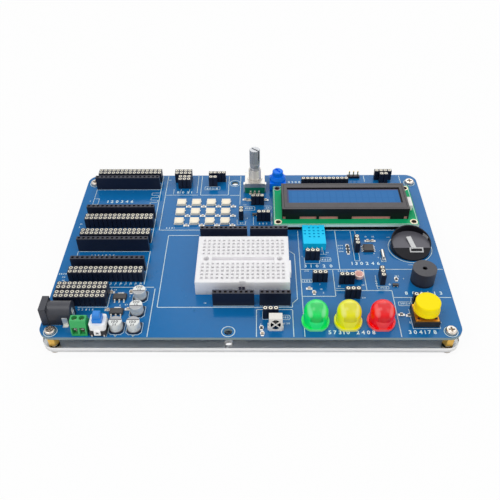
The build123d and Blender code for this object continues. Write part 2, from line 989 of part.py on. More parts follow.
def encoder_pusher():
    "The plate that the shaft presses onto the switch dome."
    return rod(
        encoder_x,
        encoder_y,
        encoder_pusher_top - encoder_pusher_height,
        encoder_well_diameter - 2 * running_gap,
        encoder_pusher_height,
    )


def encoder_metal():
    "Three pins in front, two behind, and a mounting lug on each side."
    solids = []
    for side, steps in ((-1, (-1, 0, 1)), (1, (-1, 1))):
        y = encoder_y + side * (encoder_depth + encoder_pin_thickness) / 2
        for step in steps:
            x = encoder_x + step * encoder_pin_spacing
            solids.append(block(x, y, deck, encoder_pin_width, encoder_pin_thickness, encoder_pin_height))
        x = encoder_x + side * (encoder_width + encoder_lug_thickness) / 2
        y = encoder_y - encoder_depth / 2 + encoder_lug_inset
        solids.append(block(x, y, deck, encoder_lug_thickness, encoder_lug_width, encoder_lug_height))
    return solids


trimmer_bottom = deck + trimmer_standoff
trimmer_top = trimmer_bottom + trimmer_height


def trimmer_body():
    "The square body with the bore of the spindle."
    body = block(trimmer_x, trimmer_y, trimmer_bottom, trimmer_size, trimmer_size, trimmer_height)
    bore = rod(
        trimmer_x,
        trimmer_y,
        trimmer_top - trimmer_spindle_depth - trimmer_spindle_gap,
        trimmer_spindle_diameter + 2 * running_gap,
        trimmer_spindle_depth + trimmer_spindle_gap,
    )
    return body - bore


def trimmer_legs():
    "Three short legs under the body."
    places = [(-pitch, 0), (0, pitch), (pitch, 0)]
    return [
        block(trimmer_x + x, trimmer_y + y, deck, trimmer_leg, trimmer_leg, trimmer_standoff)
        for x, y in places
    ]


def trimmer_knob():
    "The stepped knob: skirt, cone, cap with an arrow groove, and the spindle below."
    start = trimmer_top + running_gap
    skirt = rod(trimmer_x, trimmer_y, start, trimmer_skirt_diameter, trimmer_skirt_height)
    cone = Pos(trimmer_x, trimmer_y, start + trimmer_skirt_height) * Cone(
        trimmer_skirt_diameter / 2, trimmer_neck_diameter / 2, trimmer_cone_height, align=upright
    )
    cap_bottom = start + trimmer_skirt_height + trimmer_cone_height
    cap = rod(0, 0, 0, trimmer_cap_diameter, trimmer_cap_height)
    cap = chamfer(cap.edges().sort_by(Axis.Z)[-1], trimmer_cap_edge)
    cap = Pos(trimmer_x, trimmer_y, cap_bottom) * cap
    spindle = rod(
        trimmer_x,
        trimmer_y,
        trimmer_top - trimmer_spindle_depth,
        trimmer_spindle_diameter,
        trimmer_spindle_depth + running_gap,
    )
    shaft = block(0, 0, 0, trimmer_arrow_length, trimmer_arrow_width, trimmer_arrow_depth)
    tip_x = trimmer_arrow_length / 2
    root_x = tip_x - trimmer_tip_length
    wing = trimmer_arrow_width * 1.2
    tip = extrude(Polygon((root_x, -wing), (tip_x, 0), (root_x, wing), align=None), trimmer_arrow_depth)
    arrow = Pos(trimmer_x, trimmer_y, cap_bottom + trimmer_cap_height - trimmer_arrow_depth) * Rot(
        0, 0, trimmer_arrow_angle
    ) * (shaft + tip)
    return skirt + cone + cap + spindle - arrow


button_plate_top = deck + button_base_height + button_plate_thickness


def button_base():
    "The moulded base with the round well for dome and plunger."
    base = block(button_x, button_y, deck, button_size, button_size, button_base_height)
    return base - rod(
        button_x, button_y, deck + button_well_floor, button_well_diameter, button_base_height
    )


def button_plate():
    "The metal cover plate with its hole and four rivet heads."
    plate = block(
        button_x,
        button_y,
        deck + button_base_height,
        button_plate_size,
        button_plate_size,
        button_plate_thickness,
    )
    hole_diameter = button_plunger_diameter + 2 * running_gap
    plate -= rod(button_x, button_y, deck, hole_diameter, button_cap_top)
    spacing = button_size - 2 * button_stud_inset
    for place in GridLocations(spacing, spacing, 2, 2):
        x = button_x + place.position.X
        y = button_y + place.position.Y
        plate += rod(x, y, button_plate_top, button_stud_diameter, button_stud_height)
    return plate


button_plunger_bottom = (
    deck + button_well_floor + button_dome_height + button_travel + button_press_gap
)


def button_plunger():
    "The round plunger, held under the plate by its flange, with the square stem that carries the cap."
    flange_height = deck + button_base_height - button_plunger_bottom
    flange = rod(button_x, button_y, button_plunger_bottom, button_plunger_flange, flange_height)
    neck = rod(
        button_x,
        button_y,
        button_plunger_bottom,
        button_plunger_diameter,
        button_plate_top + button_travel + button_press_gap - button_plunger_bottom,
    )
    stem = block(
        button_x,
        button_y,
        button_plunger_bottom,
        button_stem_size,
        button_stem_size,
        deck + button_stem_top - button_plunger_bottom,
    )
    return flange + neck + stem


def button_cap():
    "The round cap with a wider rim, pushed onto the square stem."
    rim = rod(button_x, button_y, deck + button_cap_bottom, button_cap_rim_diameter, button_cap_rim_height)
    top = rod(0, 0, 0, button_cap_diameter, button_cap_top - button_cap_bottom)
    top = fillet(top.edges().sort_by(Axis.Z)[-1], button_cap_edge)
    top = Pos(button_x, button_y, deck + button_cap_bottom) * top
    pocket = block(
        button_x,
        button_y,
        deck + button_cap_bottom,
        button_stem_size,
        button_stem_size,
        button_stem_top - button_cap_bottom,
    )
    return rim + top - pocket


def button_dome():
    "The snap dome on the floor of the well."
    radius = button_dome_diameter / 2
    bulge = (radius**2 + button_dome_height**2) / (2 * button_dome_height)
    floor = deck + button_well_floor
    centre = floor + button_dome_height - bulge
    ball = Sphere(bulge) - Sphere(bulge - button_dome_thickness)
    cap = Pos(button_x, button_y, centre) * ball
    return cap & rod(button_x, button_y, floor, button_well_diameter, 2 * button_dome_height)


def humidity_case():
    "The vented lid: walls, top with rows of slots, open below."
    case = block(humid_x, humid_y, deck, humid_width, humid_length, humid_height)
    case -= block(
        humid_x,
        humid_y,
        deck,
        humid_width - 2 * humid_wall,
        humid_length - 2 * humid_wall,
        humid_height - humid_wall,
    )
    lid = deck + humid_height - humid_wall
    for row, count in enumerate(humid_slot_rows):
        y = humid_y + humid_slot_offset_y + (row - len(humid_slot_rows) // 2) * humid_slot_pitch_y
        for column in range(count):
            x = humid_x + (column - count // 2) * humid_slot_pitch_x
            case -= block(x, y, lid, humid_slot_length, humid_slot_width, humid_wall)
    return case - humidity_leads()


def humidity_board():
    "The sensor's own board with the sensing element on it."
    board = block(
        humid_x,
        humid_y,
        deck,
        humid_width - 2 * humid_wall,
        humid_length - 2 * humid_wall,
        humid_board_thickness,
    )
    element = block(
        humid_x,
        humid_y + humid_slot_offset_y,
        deck + humid_board_thickness,
        humid_element_width,
        humid_element_length,
        humid_element_height,
    )
    return board + element


def humidity_leads():
    "Four leads out of the front wall, bent down to the main board."
    front = humid_y - humid_length / 2
    leads = []
    for index in range(humid_lead_count):
        x = humid_x + (index - (humid_lead_count - 1) / 2) * pitch
        run = humid_lead_reach + humid_wall
        y = front - humid_lead_reach + run / 2
        level = block(
            x, y, deck + humid_lead_height - humid_lead_width, humid_lead_width, run, humid_lead_width
        )
        down_y = front - humid_lead_reach + humid_lead_width / 2
        down = block(x, down_y, deck, humid_lead_width, humid_lead_width, humid_lead_height)
        leads.append(level + down)
    return leads


def gull_legs(body_width, count, leg_pitch, leg_width, reach, rise):
    "Two rows of bent legs, left and right of a body that is centred on the origin."
    legs = []
    for side in (-1, 1):
        edge = side * body_width / 2
        tip = edge + side * reach
        knee = edge + side * reach * leg_knee_share
        upper = (min(edge, knee), max(edge, knee))
        lower = (min(knee - side * leg_thickness, tip), max(knee - side * leg_thickness, tip))
        for index in range(count):
            y = (index - (count - 1) / 2) * leg_pitch
            arm = block(sum(upper) / 2, y, rise, upper[1] - upper[0], leg_width, leg_thickness)
            foot = block(sum(lower) / 2, y, 0, lower[1] - lower[0], leg_width, leg_thickness)
            shin = block(knee - side * leg_thickness / 2, y, 0, leg_thickness, leg_width, rise + leg_thickness)
            legs.append(arm + foot + shin)
    return legs


def clock_chip():
    "The eight-leg clock chip's body, with a dimple at pin one."
    body = block(clock_x, clock_y, deck + clock_gap, clock_body_width, clock_body_length, clock_body_height)
    dimple_x = clock_x - clock_body_width / 2 + clock_dimple_inset
    dimple_y = clock_y + clock_body_length / 2 - clock_dimple_inset
    return body - rod(dimple_x, dimple_y, deck + clock_body_height, clock_dimple_diameter, clock_body_height)


def clock_legs():
    "The chip's legs."
    legs = gull_legs(
        clock_body_width, clock_leg_count, clock_leg_pitch, clock_leg_width, clock_leg_reach, clock_leg_rise
    )
    return [Pos(clock_x, clock_y, deck) * leg for leg in legs]


def crystal():
    "The crystal's can, lying on the board, and its two leads."
    centre_z = deck + crystal_diameter / 2
    lying = Rot(90, 0, 0) * Cylinder(crystal_diameter / 2, crystal_length)
    can = Pos(crystal_x, crystal_y, centre_z) * lying
    front = crystal_y - crystal_length / 2
    leads = []
    for side in (-1, 1):
        x = crystal_x + side * crystal_lead_spacing / 2
        level = block(
            x,
            front - crystal_lead_reach / 2,
            centre_z - crystal_lead / 2,
            crystal_lead,
            crystal_lead_reach,
            crystal_lead,
        )
        down_y = front - crystal_lead_reach + crystal_lead / 2
        down = block(x, down_y, deck, crystal_lead, crystal_lead, centre_z + crystal_lead / 2 - deck)
        leads.append(level + down)
    return can, leads


def coin_holder():
    "The round holder: pocket, rim that falls towards the front, and the ramp that the cell slides up."
    radius = holder_diameter / 2
    ramp_top = holder_ramp_length - radius
    profile = [
        (-radius, 0),
        (-radius, holder_lip_height),
        (ramp_top, holder_floor),
        (radius, holder_back_height),
        (radius, 0),
    ]
    body = extrude(Plane.YZ * Polygon(*profile, align=None), radius, both=True)
    body &= rod(0, 0, 0, holder_diameter, holder_back_height)
    body -= rod(0, 0, holder_floor, holder_diameter - 2 * holder_wall, holder_back_height)
    return Pos(holder_x, holder_y, deck) * body - coin_contacts()


def coin_contacts():
    "The lower contact, a frame on the ramp with a tongue into the pocket, and the clip inside the rim."
    ramp_y = holder_y - holder_diameter / 2 + holder_ramp_length
    slope = math.degrees(math.atan2(holder_floor - holder_lip_height, holder_ramp_length))
    frame = Rectangle(contact_frame_length, contact_frame_depth)
    frame -= Rectangle(contact_frame_length - 2 * contact_frame_edge, contact_frame_depth - 2 * contact_frame_edge)
    plate = extrude(Pos(0, -contact_frame_depth / 2, -contact_thickness) * frame, 2 * contact_thickness)
    plate = Pos(contact_frame_x, ramp_y, deck + holder_floor) * Rot(slope, 0, 0) * plate
    lift = math.degrees(math.atan2(tongue_rise, tongue_length))
    tongue = Pos(0, tongue_length / 2 - tongue_root, 0) * Box(tongue_width, tongue_length, contact_thickness)
    tongue = Rot(0, 0, tongue_turn) * Rot(lift, 0, 0) * tongue
    tongue = Pos(contact_frame_x + tongue_offset, ramp_y, deck + holder_floor) * tongue
    radius = holder_diameter / 2 - holder_wall
    clip = tube(0, 0, holder_floor, 2 * radius, 2 * (radius - contact_thickness), side_contact_rise)
    clip &= block(radius, 0, 0, radius, side_contact_length, holder_back_height)
    clip = Pos(holder_x, holder_y, deck) * Rot(0, 0, side_contact_angle) * clip
    return [plate + tongue, clip]


def buzzer_case():
    "The round case with the sound hole, open below."
    case = rod(buzzer_x, buzzer_y, deck + buzzer_base_thickness, buzzer_diameter, buzzer_height - buzzer_base_thickness)
    case -= rod(
        buzzer_x,
        buzzer_y,
        deck + buzzer_base_thickness,
        buzzer_diameter - 2 * buzzer_wall,
        buzzer_height - buzzer_base_thickness - buzzer_wall,
    )
    return case - rod(buzzer_x, buzzer_y, deck, buzzer_hole_diameter, buzzer_height)


def buzzer_base():
    "The disc that closes the case."
    return rod(buzzer_x, buzzer_y, deck, buzzer_diameter, buzzer_base_thickness)


def buzzer_coil():
    "The coil on its core, standing on the base."
    z = deck + buzzer_base_thickness
    return rod(buzzer_x, buzzer_y, z, buzzer_coil_diameter, buzzer_coil_height)


def buzzer_diaphragm():
    "The steel disc on its ledge ring, just above the coil."
    z = deck + buzzer_base_thickness + buzzer_coil_height + buzzer_disc_gap
    inner = buzzer_diameter - 2 * buzzer_wall
    disc = rod(buzzer_x, buzzer_y, z, inner, buzzer_disc_thickness)
    ledge_bottom = deck + buzzer_base_thickness
    ledge = tube(
        buzzer_x, buzzer_y, ledge_bottom, inner, inner - 2 * buzzer_ledge_width, z - ledge_bottom
    )
    return disc + ledge


def light_sensor():
    "The photoresistor's disc."
    return rod(light_x, light_y, deck + light_bottom, light_diameter, light_thickness)


def light_leads():
    "The photoresistor's two leads."
    return [
        rod(light_x + side * light_lead_spacing / 2, light_y, deck, light_lead, light_bottom)
        for side in (-1, 1)
    ]


infrared_y = infrared_front_y + infrared_depth / 2


def infrared_shield():
    "The folded shield with an oval window that a cross bridges, and two feet on each side."
    shell = block(infrared_x, infrared_y, deck, infrared_width, infrared_depth, infrared_height)
    shell -= block(
        infrared_x,
        infrared_y + infrared_wall,
        deck,
        infrared_width - 2 * infrared_wall,
        infrared_depth,
        infrared_height - infrared_wall,
    )
    middle = deck + infrared_window_bottom + infrared_window_height / 2
    window = Pos(infrared_x, infrared_front_y, middle) * Rot(90, 0, 0) * extrude(
        Ellipse(infrared_window_width / 2, infrared_window_height / 2), 1, both=True
    )
    window &= block(infrared_x, infrared_front_y, deck, infrared_width, 2 * infrared_wall, infrared_height)
    bar = Box(infrared_bar, infrared_wall, 2 * infrared_window_height)
    wall_y = infrared_front_y + infrared_wall / 2
    bars = [Pos(infrared_x, wall_y, middle) * Rot(0, side * 45, 0) * bar for side in (-1, 1)]
    shell = shell - window + [one & window for one in bars]
    for side in (-1, 1):
        for y in (infrared_y - infrared_foot_offset, infrared_y + infrared_foot_offset):
            x = infrared_x + side * (infrared_width + infrared_foot_reach) / 2
            shell += block(x, y, deck, infrared_foot_reach, infrared_foot_width, infrared_foot_height)
    return shell


def infrared_lens():
    "The dark epoxy body with its half-round lens."
    depth = infrared_depth - infrared_wall - infrared_lens_gap
    width = infrared_width - 2 * infrared_wall
    height = infrared_height - infrared_wall - infrared_lens_headroom
    back = infrared_front_y + infrared_depth
    body = block(infrared_x, back - depth / 4, deck, width, depth / 2, height)
    middle = deck + infrared_window_bottom + infrared_window_height / 2
    dome = Pos(infrared_x, back - depth / 2, middle) * Sphere(depth / 2)
    front_half = block(infrared_x, back - depth, deck, width, depth, height)
    return body + (dome & front_half)


jack_back = jack_x + jack_length
jack_hole_z = deck + jack_axis_height


def along_x(x, y, z, diameter, length):
    "A cylinder along X that starts at x."
    return Pos(x + length / 2, y, z) * Rot(0, 90, 0) * Cylinder(diameter / 2, length)


def jack_housing():
    "The square front flange and the round-topped barrel, with the plug's bore."
    flange = block(jack_x + jack_flange / 2, jack_y, deck, jack_flange, jack_width, jack_height)
    rest = jack_length - jack_flange
    rest_x = jack_x + jack_flange + rest / 2
    lower = block(rest_x, jack_y, deck, rest, 2 * jack_barrel_radius, jack_axis_height)
    barrel = along_x(jack_x + jack_flange, jack_y, jack_hole_z, 2 * jack_barrel_radius, rest)
    body = flange + lower + barrel
    body -= along_x(jack_x, jack_y, jack_hole_z, jack_bore_diameter, jack_bore_depth)
    return body - along_x(jack_x, jack_y, jack_hole_z, jack_pin_diameter, jack_length)


def jack_pin():
    "The centre pin with its rounded tip."
    length = jack_length - jack_pin_inset
    pin = along_x(jack_x + jack_pin_inset, jack_y, jack_hole_z, jack_pin_diameter, length)
    return fillet(pin.edges().sort_by(Axis.X)[0], jack_pin_tip)


def jack_contacts():
    "The side lug with its foot, and the rear lug."
    side_x = jack_back - jack_lug_inset
    edge = jack_y - jack_barrel_radius
    lug_y = edge - jack_contact_thickness / 2
    side = block(side_x, lug_y, deck, jack_contact_width, jack_contact_thickness, jack_lug_height)
    foot_y = edge - jack_foot_reach / 2
    foot = block(side_x, foot_y, deck, jack_contact_width, jack_foot_reach, jack_contact_thickness)
    rear_x = jack_back + jack_contact_thickness / 2
    rear = block(rear_x, jack_y, deck, jack_contact_thickness, jack_contact_width, jack_lug_height)
    return [side + foot, rear]


def terminal_ways():
    "The x of each way of the screw terminal."
    return [terminal_x - terminal_pitch / 2, terminal_x + terminal_pitch / 2]


terminal_width = 2 * terminal_pitch + terminal_side_wall
terminal_screw_y = terminal_front_y + terminal_screw_inset
terminal_seat = deck + terminal_screw_top - terminal_screw_head_height
terminal_cavity_floor = deck + terminal_mouth_floor
terminal_cavity_back = terminal_screw_y + terminal_cage_depth / 2 + terminal_cage_gap
terminal_cage_bottom = terminal_cavity_floor + terminal_cage_gap
terminal_bar_top = terminal_cage_bottom + terminal_cage_height - terminal_cage_wall - terminal_cage_gap


def terminal_housing():
    "The stepped housing with two wire mouths, and above each a roof with the screw's hole and well."
    front = terminal_front_y
    profile = [
        (front, 0),
        (front, terminal_front_height),
        (front + terminal_front_step, terminal_height),
        (front + terminal_front_step + terminal_depth_top, terminal_height),
        (front + terminal_depth_bottom, terminal_rear_height),
        (front + terminal_depth_bottom, 0),
    ]
    side = Plane.YZ * Polygon(*profile, align=None)
    body = Pos(terminal_x, 0, deck) * extrude(side, terminal_width / 2, both=True)
    depth = terminal_cavity_back - front
    bore = terminal_screw_shank_diameter + 2 * running_gap
    for x in terminal_ways():
        body -= block(
            x, front + depth / 2, terminal_cavity_floor, terminal_mouth_width, depth, terminal_mouth_height
        )
        body -= rod(x, terminal_screw_y, terminal_seat, terminal_access_diameter, terminal_height)
        body -= rod(x, terminal_screw_y, terminal_cavity_floor, bore, terminal_height)
    return body


def terminal_screw(x):
    "A slotted screw, held in its well, whose shank draws the cage up."
    head_diameter = terminal_screw_head_diameter
    head = rod(x, terminal_screw_y, terminal_seat, head_diameter, terminal_screw_head_height)
    end = terminal_bar_top + terminal_cage_gap / 2
    shank = rod(x, terminal_screw_y, end, terminal_screw_shank_diameter, terminal_seat - end)
    top = terminal_seat + terminal_screw_head_height
    slot_bottom = top - terminal_slot_depth
    slot = block(x, terminal_screw_y, slot_bottom, 2 * head_diameter, terminal_screw_slot, 2 * terminal_slot_depth)
    return head + shank - slot


def terminal_cage(x):
    "A square ring of metal that rises and clamps the wire."
    height = terminal_cage_height
    cage = block(x, terminal_screw_y, terminal_cage_bottom, terminal_cage_width, terminal_cage_depth, height)
    inner_width = terminal_cage_width - 2 * terminal_cage_wall
    z = terminal_cage_bottom + terminal_cage_wall
    cage -= block(
        x, terminal_screw_y, z, inner_width, terminal_cage_depth, height - 2 * terminal_cage_wall
    )
    bore = terminal_screw_shank_diameter + 2 * running_gap
    return cage - rod(x, terminal_screw_y, z, bore, height)


def terminal_bars():
    "The fixed bars that the cages press the wires against, each from the back of its cavity."
    width = terminal_cage_width - 2 * (terminal_cage_wall + terminal_cage_gap)
    front = terminal_front_y + terminal_bar_inset
    length = terminal_cavity_back - front
    z = terminal_bar_top - terminal_bar_thickness
    return [
        block(x, front + length / 2, z, width, length, terminal_bar_thickness) for x in terminal_ways()
    ]


switch_base_top = deck + switch_base_height
switch_cover_top = switch_base_top + switch_cover_height
switch_front = switch_y - switch_depth / 2


def switch_well(z, height):
    "The space that the slider's flange moves in."
    clearance = 2 * (switch_flange + switch_slide_gap)
    length = switch_block_length + clearance
    depth = switch_block_depth + clearance
    return block(switch_x, switch_y, z, length, depth, height)


def switch_base():
    "The dark lower half with the well that the slider sinks into."
    base = block(switch_x, switch_y, deck, switch_length, switch_depth, switch_base_height)
    return base - switch_well(deck + switch_well_floor, switch_base_height)


def switch_cover():
    "The white upper half, with the slider's opening and the looped tab over the front of the base."
    outline = RectangleRounded(switch_length, switch_cover_depth, switch_cover_radius)
    cover = Pos(switch_x, switch_y, switch_base_top) * extrude(outline, switch_cover_height)
    cover -= switch_well(switch_base_top, switch_cover_height - switch_cover_wall)
    cover -= block(
        switch_x,
        switch_y,
        switch_base_top,
        switch_block_length + 2 * switch_slide_gap,
        switch_block_depth + 2 * switch_slide_gap,
        switch_cover_height,
    )
    step = (switch_depth - switch_cover_depth) / 2
    reach = switch_tab_depth + step
    width = switch_tab_width
    thickness = switch_tab_thickness
    ledge = block(switch_x, switch_front - switch_tab_depth + reach / 2, switch_base_top, width, reach, thickness)
    drop_y = switch_front - switch_tab_depth / 2
    drop_z = switch_base_top + thickness - switch_tab_height
    loop = block(switch_x, drop_y, drop_z, width, switch_tab_depth, switch_tab_height)
    loop -= block(switch_x, drop_y, drop_z + thickness, switch_tab_hole, switch_tab_depth, switch_tab_hole)
    return cover + ledge + loop


def switch_slider():
    "The blue slider: flange inside the cover, block, and narrower stem."
    flange_top = switch_cover_top - switch_cover_wall
    flange = block(
        switch_x,
        switch_y,
        flange_top - switch_flange_height,
        switch_block_length + 2 * switch_flange,
        switch_block_depth + 2 * switch_flange,
        switch_flange_height,
    )
    body = block(
        switch_x,
        switch_y,
        deck + switch_slider_bottom,
        switch_block_length,
        switch_block_depth,
        switch_block_top - switch_slider_bottom,
    )
    stem = block(0, 0, 0, switch_stem_length, switch_stem_depth, switch_stem_top - switch_block_top)
    stem = chamfer(stem.edges().group_by(Axis.Z)[-1], switch_stem_edge)
    return flange + body + Pos(switch_x, switch_y, deck + switch_block_top) * stem


def switch_pins():
    "Two pins in front and two behind, seen at the foot of the base."
    pins = []
    for place in GridLocations(2 * switch_pin_spacing, switch_depth + switch_pin_thickness, 2, 2):
        x = switch_x + place.position.X
        y = switch_y + place.position.Y
        pins.append(block(x, y, deck, switch_pin_width, switch_pin_thickness, switch_pin_height))
    return pins


def capacitor_can():
    "An aluminium can with a rolled neck near its foot."
    can = rod(0, 0, can_base_height, can_diameter, can_height - can_base_height)
    neck_diameter = can_diameter - 2 * can_neck_depth
    can -= tube(0, 0, can_base_height + can_neck_height, can_diameter, neck_diameter, can_neck_width)
    return fillet(can.edges().sort_by(Axis.Z)[-1], can_edge)


def capacitor_base():
    "The can's plastic base with two cut corners."
    outline = Rectangle(can_base_size, can_base_size)
    corners = outline.vertices().sort_by(Axis.Y)[:2]
    return extrude(chamfer(corners, can_base_cut), can_base_height)


def regulator_body():
    "The regulator's moulded body with sloping upper edges."
    height = regulator_height - regulator_gap
    body = block(0, 0, regulator_gap, regulator_length, regulator_width, height)
    return chamfer(body.edges().group_by(Axis.Z)[-1], regulator_edge)


def regulator_metal():
    "Three legs in front and the wide tab behind, all bent down to the board."
    front = -regulator_width / 2
    steps = (-regulator_leg_pitch, 0, regulator_leg_pitch)
    legs = [bent_leg(step, front, -1, regulator_leg_width) for step in steps]
    return legs + [bent_leg(0, -front, 1, regulator_tab_width)]


def bent_leg(x, edge, direction, width):
    "A flat leg that leaves an edge along Y, steps down and ends on the board."
    knee = regulator_leg_knee
    rise = regulator_leg_rise
    arm = block(x, edge + direction * knee / 2, rise, width, knee, leg_thickness)
    shin_y = edge + direction * (knee - leg_thickness / 2)
    shin = block(x, shin_y, 0, width, leg_thickness, rise + leg_thickness)
    foot_length = regulator_leg_reach - knee + leg_thickness
    foot_y = edge + direction * (regulator_leg_reach - foot_length / 2)
    return arm + shin + block(x, foot_y, 0, width, foot_length, leg_thickness)


def chip_parts(places):
    "The ceramic bodies and the metal end caps of a list of chips."
    bodies = []
    ends = []
    height = chip_height - 2 * chip_cap_proud
    body = block(0, 0, chip_cap_proud, chip_length - 2 * chip_end, chip_width, height)
    for x, y, turned in places:
        spin = Pos(x, y, deck) * Rot(0, 0, 90 if turned else 0)
        bodies.append(spin * body)
        for side in (-1, 1):
            end_x = side * (chip_length - chip_end) / 2
            ends.append(spin * block(end_x, 0, 0, chip_end, chip_width, chip_height))
    return bodies, ends


def transistor_parts():
    "Small three-leg transistors: bodies and legs."
    bodies = []
    legs = []
    height = transistor_height - transistor_gap
    reach = transistor_leg_reach
    half = transistor_leg_spacing / 2
    for x, y in transistor_places:
        bodies.append(block(x, y, deck + transistor_gap, transistor_length, transistor_width, height))
        for step, side in ((-half, -1), (half, -1), (0, 1)):
            leg_y = y + side * (transistor_width + reach) / 2
            legs.append(block(x + step, leg_y, deck, transistor_leg_width, reach, transistor_leg_height))
    return bodies, legs


# Structure
save("main_board", Pos(0, 0, board_bottom) * sheet_with_holes(board_thickness))
save("base_plate", Pos(0, 0, plate_bottom) * sheet_with_holes(plate_thickness))
save("standoffs", *copies(standoff(), [(x, y, plate_top) for x, y in corner_holes]))
top_screw = pan_screw(top_head_height, top_screw_length)
top_screws = copies(top_screw, [(x, y, deck) for x, y in corner_holes])
save("top_screws", *top_screws)
turned_screw = Rot(180, 0, 0) * pan_screw(screw_head_height, bottom_screw_length)
save("bottom_screws", *copies(turned_screw, [(x, y, plate_bottom) for x, y in corner_holes]))

# Sockets
strips = strip_places()
save("socket_strips", *[Pos(x, y, deck) * socket_strip(ways) for x, y, ways in strips])
leaves = [Pos(x, y, deck) * leaf for x, y, ways in strips for leaf in strip_contacts(ways)]
clips = bread_clips()
save("spring_contacts", *leaves, *clips)
save("breakout_sockets", *[placed_round_socket(*place) for place in breakout_places])
save("contact_sleeves", *sleeves_of(breakout_places + module_socket_places))

male_base, male_pins = male_header()
spacer, display_pins = lcd_header()
module_sockets = [placed_round_socket(*place) for place in module_socket_places]
save("module_headers", male_base, spacer, *module_sockets)
save("header_pins", *male_pins, *display_pins)

# Breadboard
save("breadboard", breadboard() - clips)
save("breadboard_pad", breadboard_pad())

# Display
save("display_board", lcd_board())
save("display_bezel", bezel())
save("display_light_guide", light_guide())
save("display_glass", lcd_glass())

# Colour lamps and traffic-light lamps
save("color_lamp_bodies", *copies(lamp_body(), lamp_places()))
lamp_window = rod(0, 0, lamp_height - lamp_window_depth, lamp_window_diameter, lamp_window_depth)
save("color_lamp_windows", *copies(lamp_window, lamp_places()))
for color, x in zip(("green", "yellow", "red"), traffic_x):
    save(f"{color}_traffic_lamp", traffic_lamp(x))

# Rotary encoder and trimmer
save("encoder_housing", encoder_housing())
save("encoder_base", encoder_base())
save("encoder_shaft", encoder_shaft())
save("encoder_contact_wheel", encoder_wheel())
save("encoder_push_plate", encoder_pusher())
save("trimmer_body", trimmer_body())
save("trimmer_knob", trimmer_knob())

# Push button
save("button_base", button_base())
save("button_plate", button_plate())
save("button_dome", button_dome())
save("button_plunger", button_plunger())
save("button_cap", button_cap())

# Sensors, cell holder and buzzer
crystal_can, crystal_leads = crystal()
save("humidity_sensor_case", humidity_case())
save("humidity_sensor_board", humidity_board())
save("light_sensor", light_sensor())
save("infrared_shield", infrared_shield())
save("infrared_lens", infrared_lens())
save("crystal_can", crystal_can)
save("coin_cell_holder", coin_holder())
save("coin_cell_contacts", *coin_contacts())
save("buzzer_case", buzzer_case())
save("buzzer_coil_and_base", buzzer_base(), buzzer_coil())
save("buzzer_diaphragm", buzzer_diaphragm())

# Power
save("power_socket_housing", jack_housing())
save("power_contacts", jack_pin(), *jack_contacts(), *terminal_bars())
save("terminal_housing", terminal_housing())
for side, x in zip(("left", "right"), terminal_ways()):
    save(f"terminal_screw_{side}", terminal_screw(x))
    save(f"terminal_cage_{side}", terminal_cage(x))
save("power_switch_base", switch_base())
save("power_switch_cover", switch_cover())
save("power_switch_slider", switch_slider())
save("capacitor_cans", *copies(capacitor_can(), [(x, y, deck) for x, y in can_places]))
save("capacitor_bases", *copies(capacitor_base(), [(x, y, deck) for x, y in can_places]))

# Chips and transistors
regulator_spots = [(x, y, deck) for x, y in regulator_places]
lamp_chips = [(x + lamp_chip_offset_x, y + lamp_chip_offset_y, True) for x, y, z in lamp_places()]
chips, chip_ends = chip_parts(resistor_places + capacitor_places + lamp_chips)
transistors, transistor_legs = transistor_parts()
save("chip_packages", clock_chip(), *transistors, *copies(regulator_body(), regulator_spots))
save("small_chips", *chips)

# Everything that is soldered down, in tinned metal
lamp_metal = [lead for x in traffic_x for lead in traffic_leads(x)]
lamp_metal += [foot for one in lamp_feet() for foot in copies(one, lamp_places())]
regulator_legs = [leg for one in regulator_metal() for leg in copies(one, regulator_spots)]
chip_metal = chip_ends + transistor_legs + clock_legs() + regulator_legs
sensor_leads = humidity_leads() + light_leads() + crystal_leads
control_leads = encoder_metal() + trimmer_legs() + switch_pins()
save("soldered_leads", *lamp_metal, *chip_metal, *sensor_leads, *control_leads)
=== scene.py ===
import math

import bmesh
import bpy
from mathutils import Matrix, Vector


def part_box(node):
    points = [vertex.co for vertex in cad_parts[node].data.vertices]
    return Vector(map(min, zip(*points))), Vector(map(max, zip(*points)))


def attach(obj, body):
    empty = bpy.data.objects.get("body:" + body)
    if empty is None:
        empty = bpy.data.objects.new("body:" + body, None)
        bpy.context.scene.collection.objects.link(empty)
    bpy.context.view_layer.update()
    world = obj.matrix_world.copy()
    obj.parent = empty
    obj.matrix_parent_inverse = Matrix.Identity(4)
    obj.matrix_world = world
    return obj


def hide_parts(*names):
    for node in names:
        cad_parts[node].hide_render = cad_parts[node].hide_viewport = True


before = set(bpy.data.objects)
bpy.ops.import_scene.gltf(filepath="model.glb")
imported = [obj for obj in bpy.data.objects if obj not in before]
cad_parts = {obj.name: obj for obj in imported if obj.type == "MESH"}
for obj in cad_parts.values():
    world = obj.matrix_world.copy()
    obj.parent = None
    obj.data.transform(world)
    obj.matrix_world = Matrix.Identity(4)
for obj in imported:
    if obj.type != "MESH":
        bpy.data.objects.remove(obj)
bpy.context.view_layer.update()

print("frame loaded:", len(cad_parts), "nodes")

mm = 0.001
boardLow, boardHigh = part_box("main_board")
boardMiddle = (boardLow + boardHigh) / 2
deck = boardHigh.z
boardOrigin = Vector((boardMiddle.x, boardMiddle.y, deck))
boardThickness = (boardHigh.z - boardLow.z) / mm


def at(x, y, z=0.0):
    # board millimetres: from the middle of the board, height above its top face
    return Vector((boardMiddle.x + x * mm, boardMiddle.y + y * mm, deck + z * mm))


def boardBox(nodeName):
    # a node's low and high corner in board millimetres
    return [(corner - boardOrigin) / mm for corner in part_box(nodeName)]


def linear(red, green, blue):
    # a screen colour, 0 to 255, as the linear colour that shaders take
    def channel(value):
        value = value / 255
        return value / 12.92 if value <= 0.04045 else ((value + 0.055) / 1.055) ** 2.4
    return (channel(red), channel(green), channel(blue), 1.0)


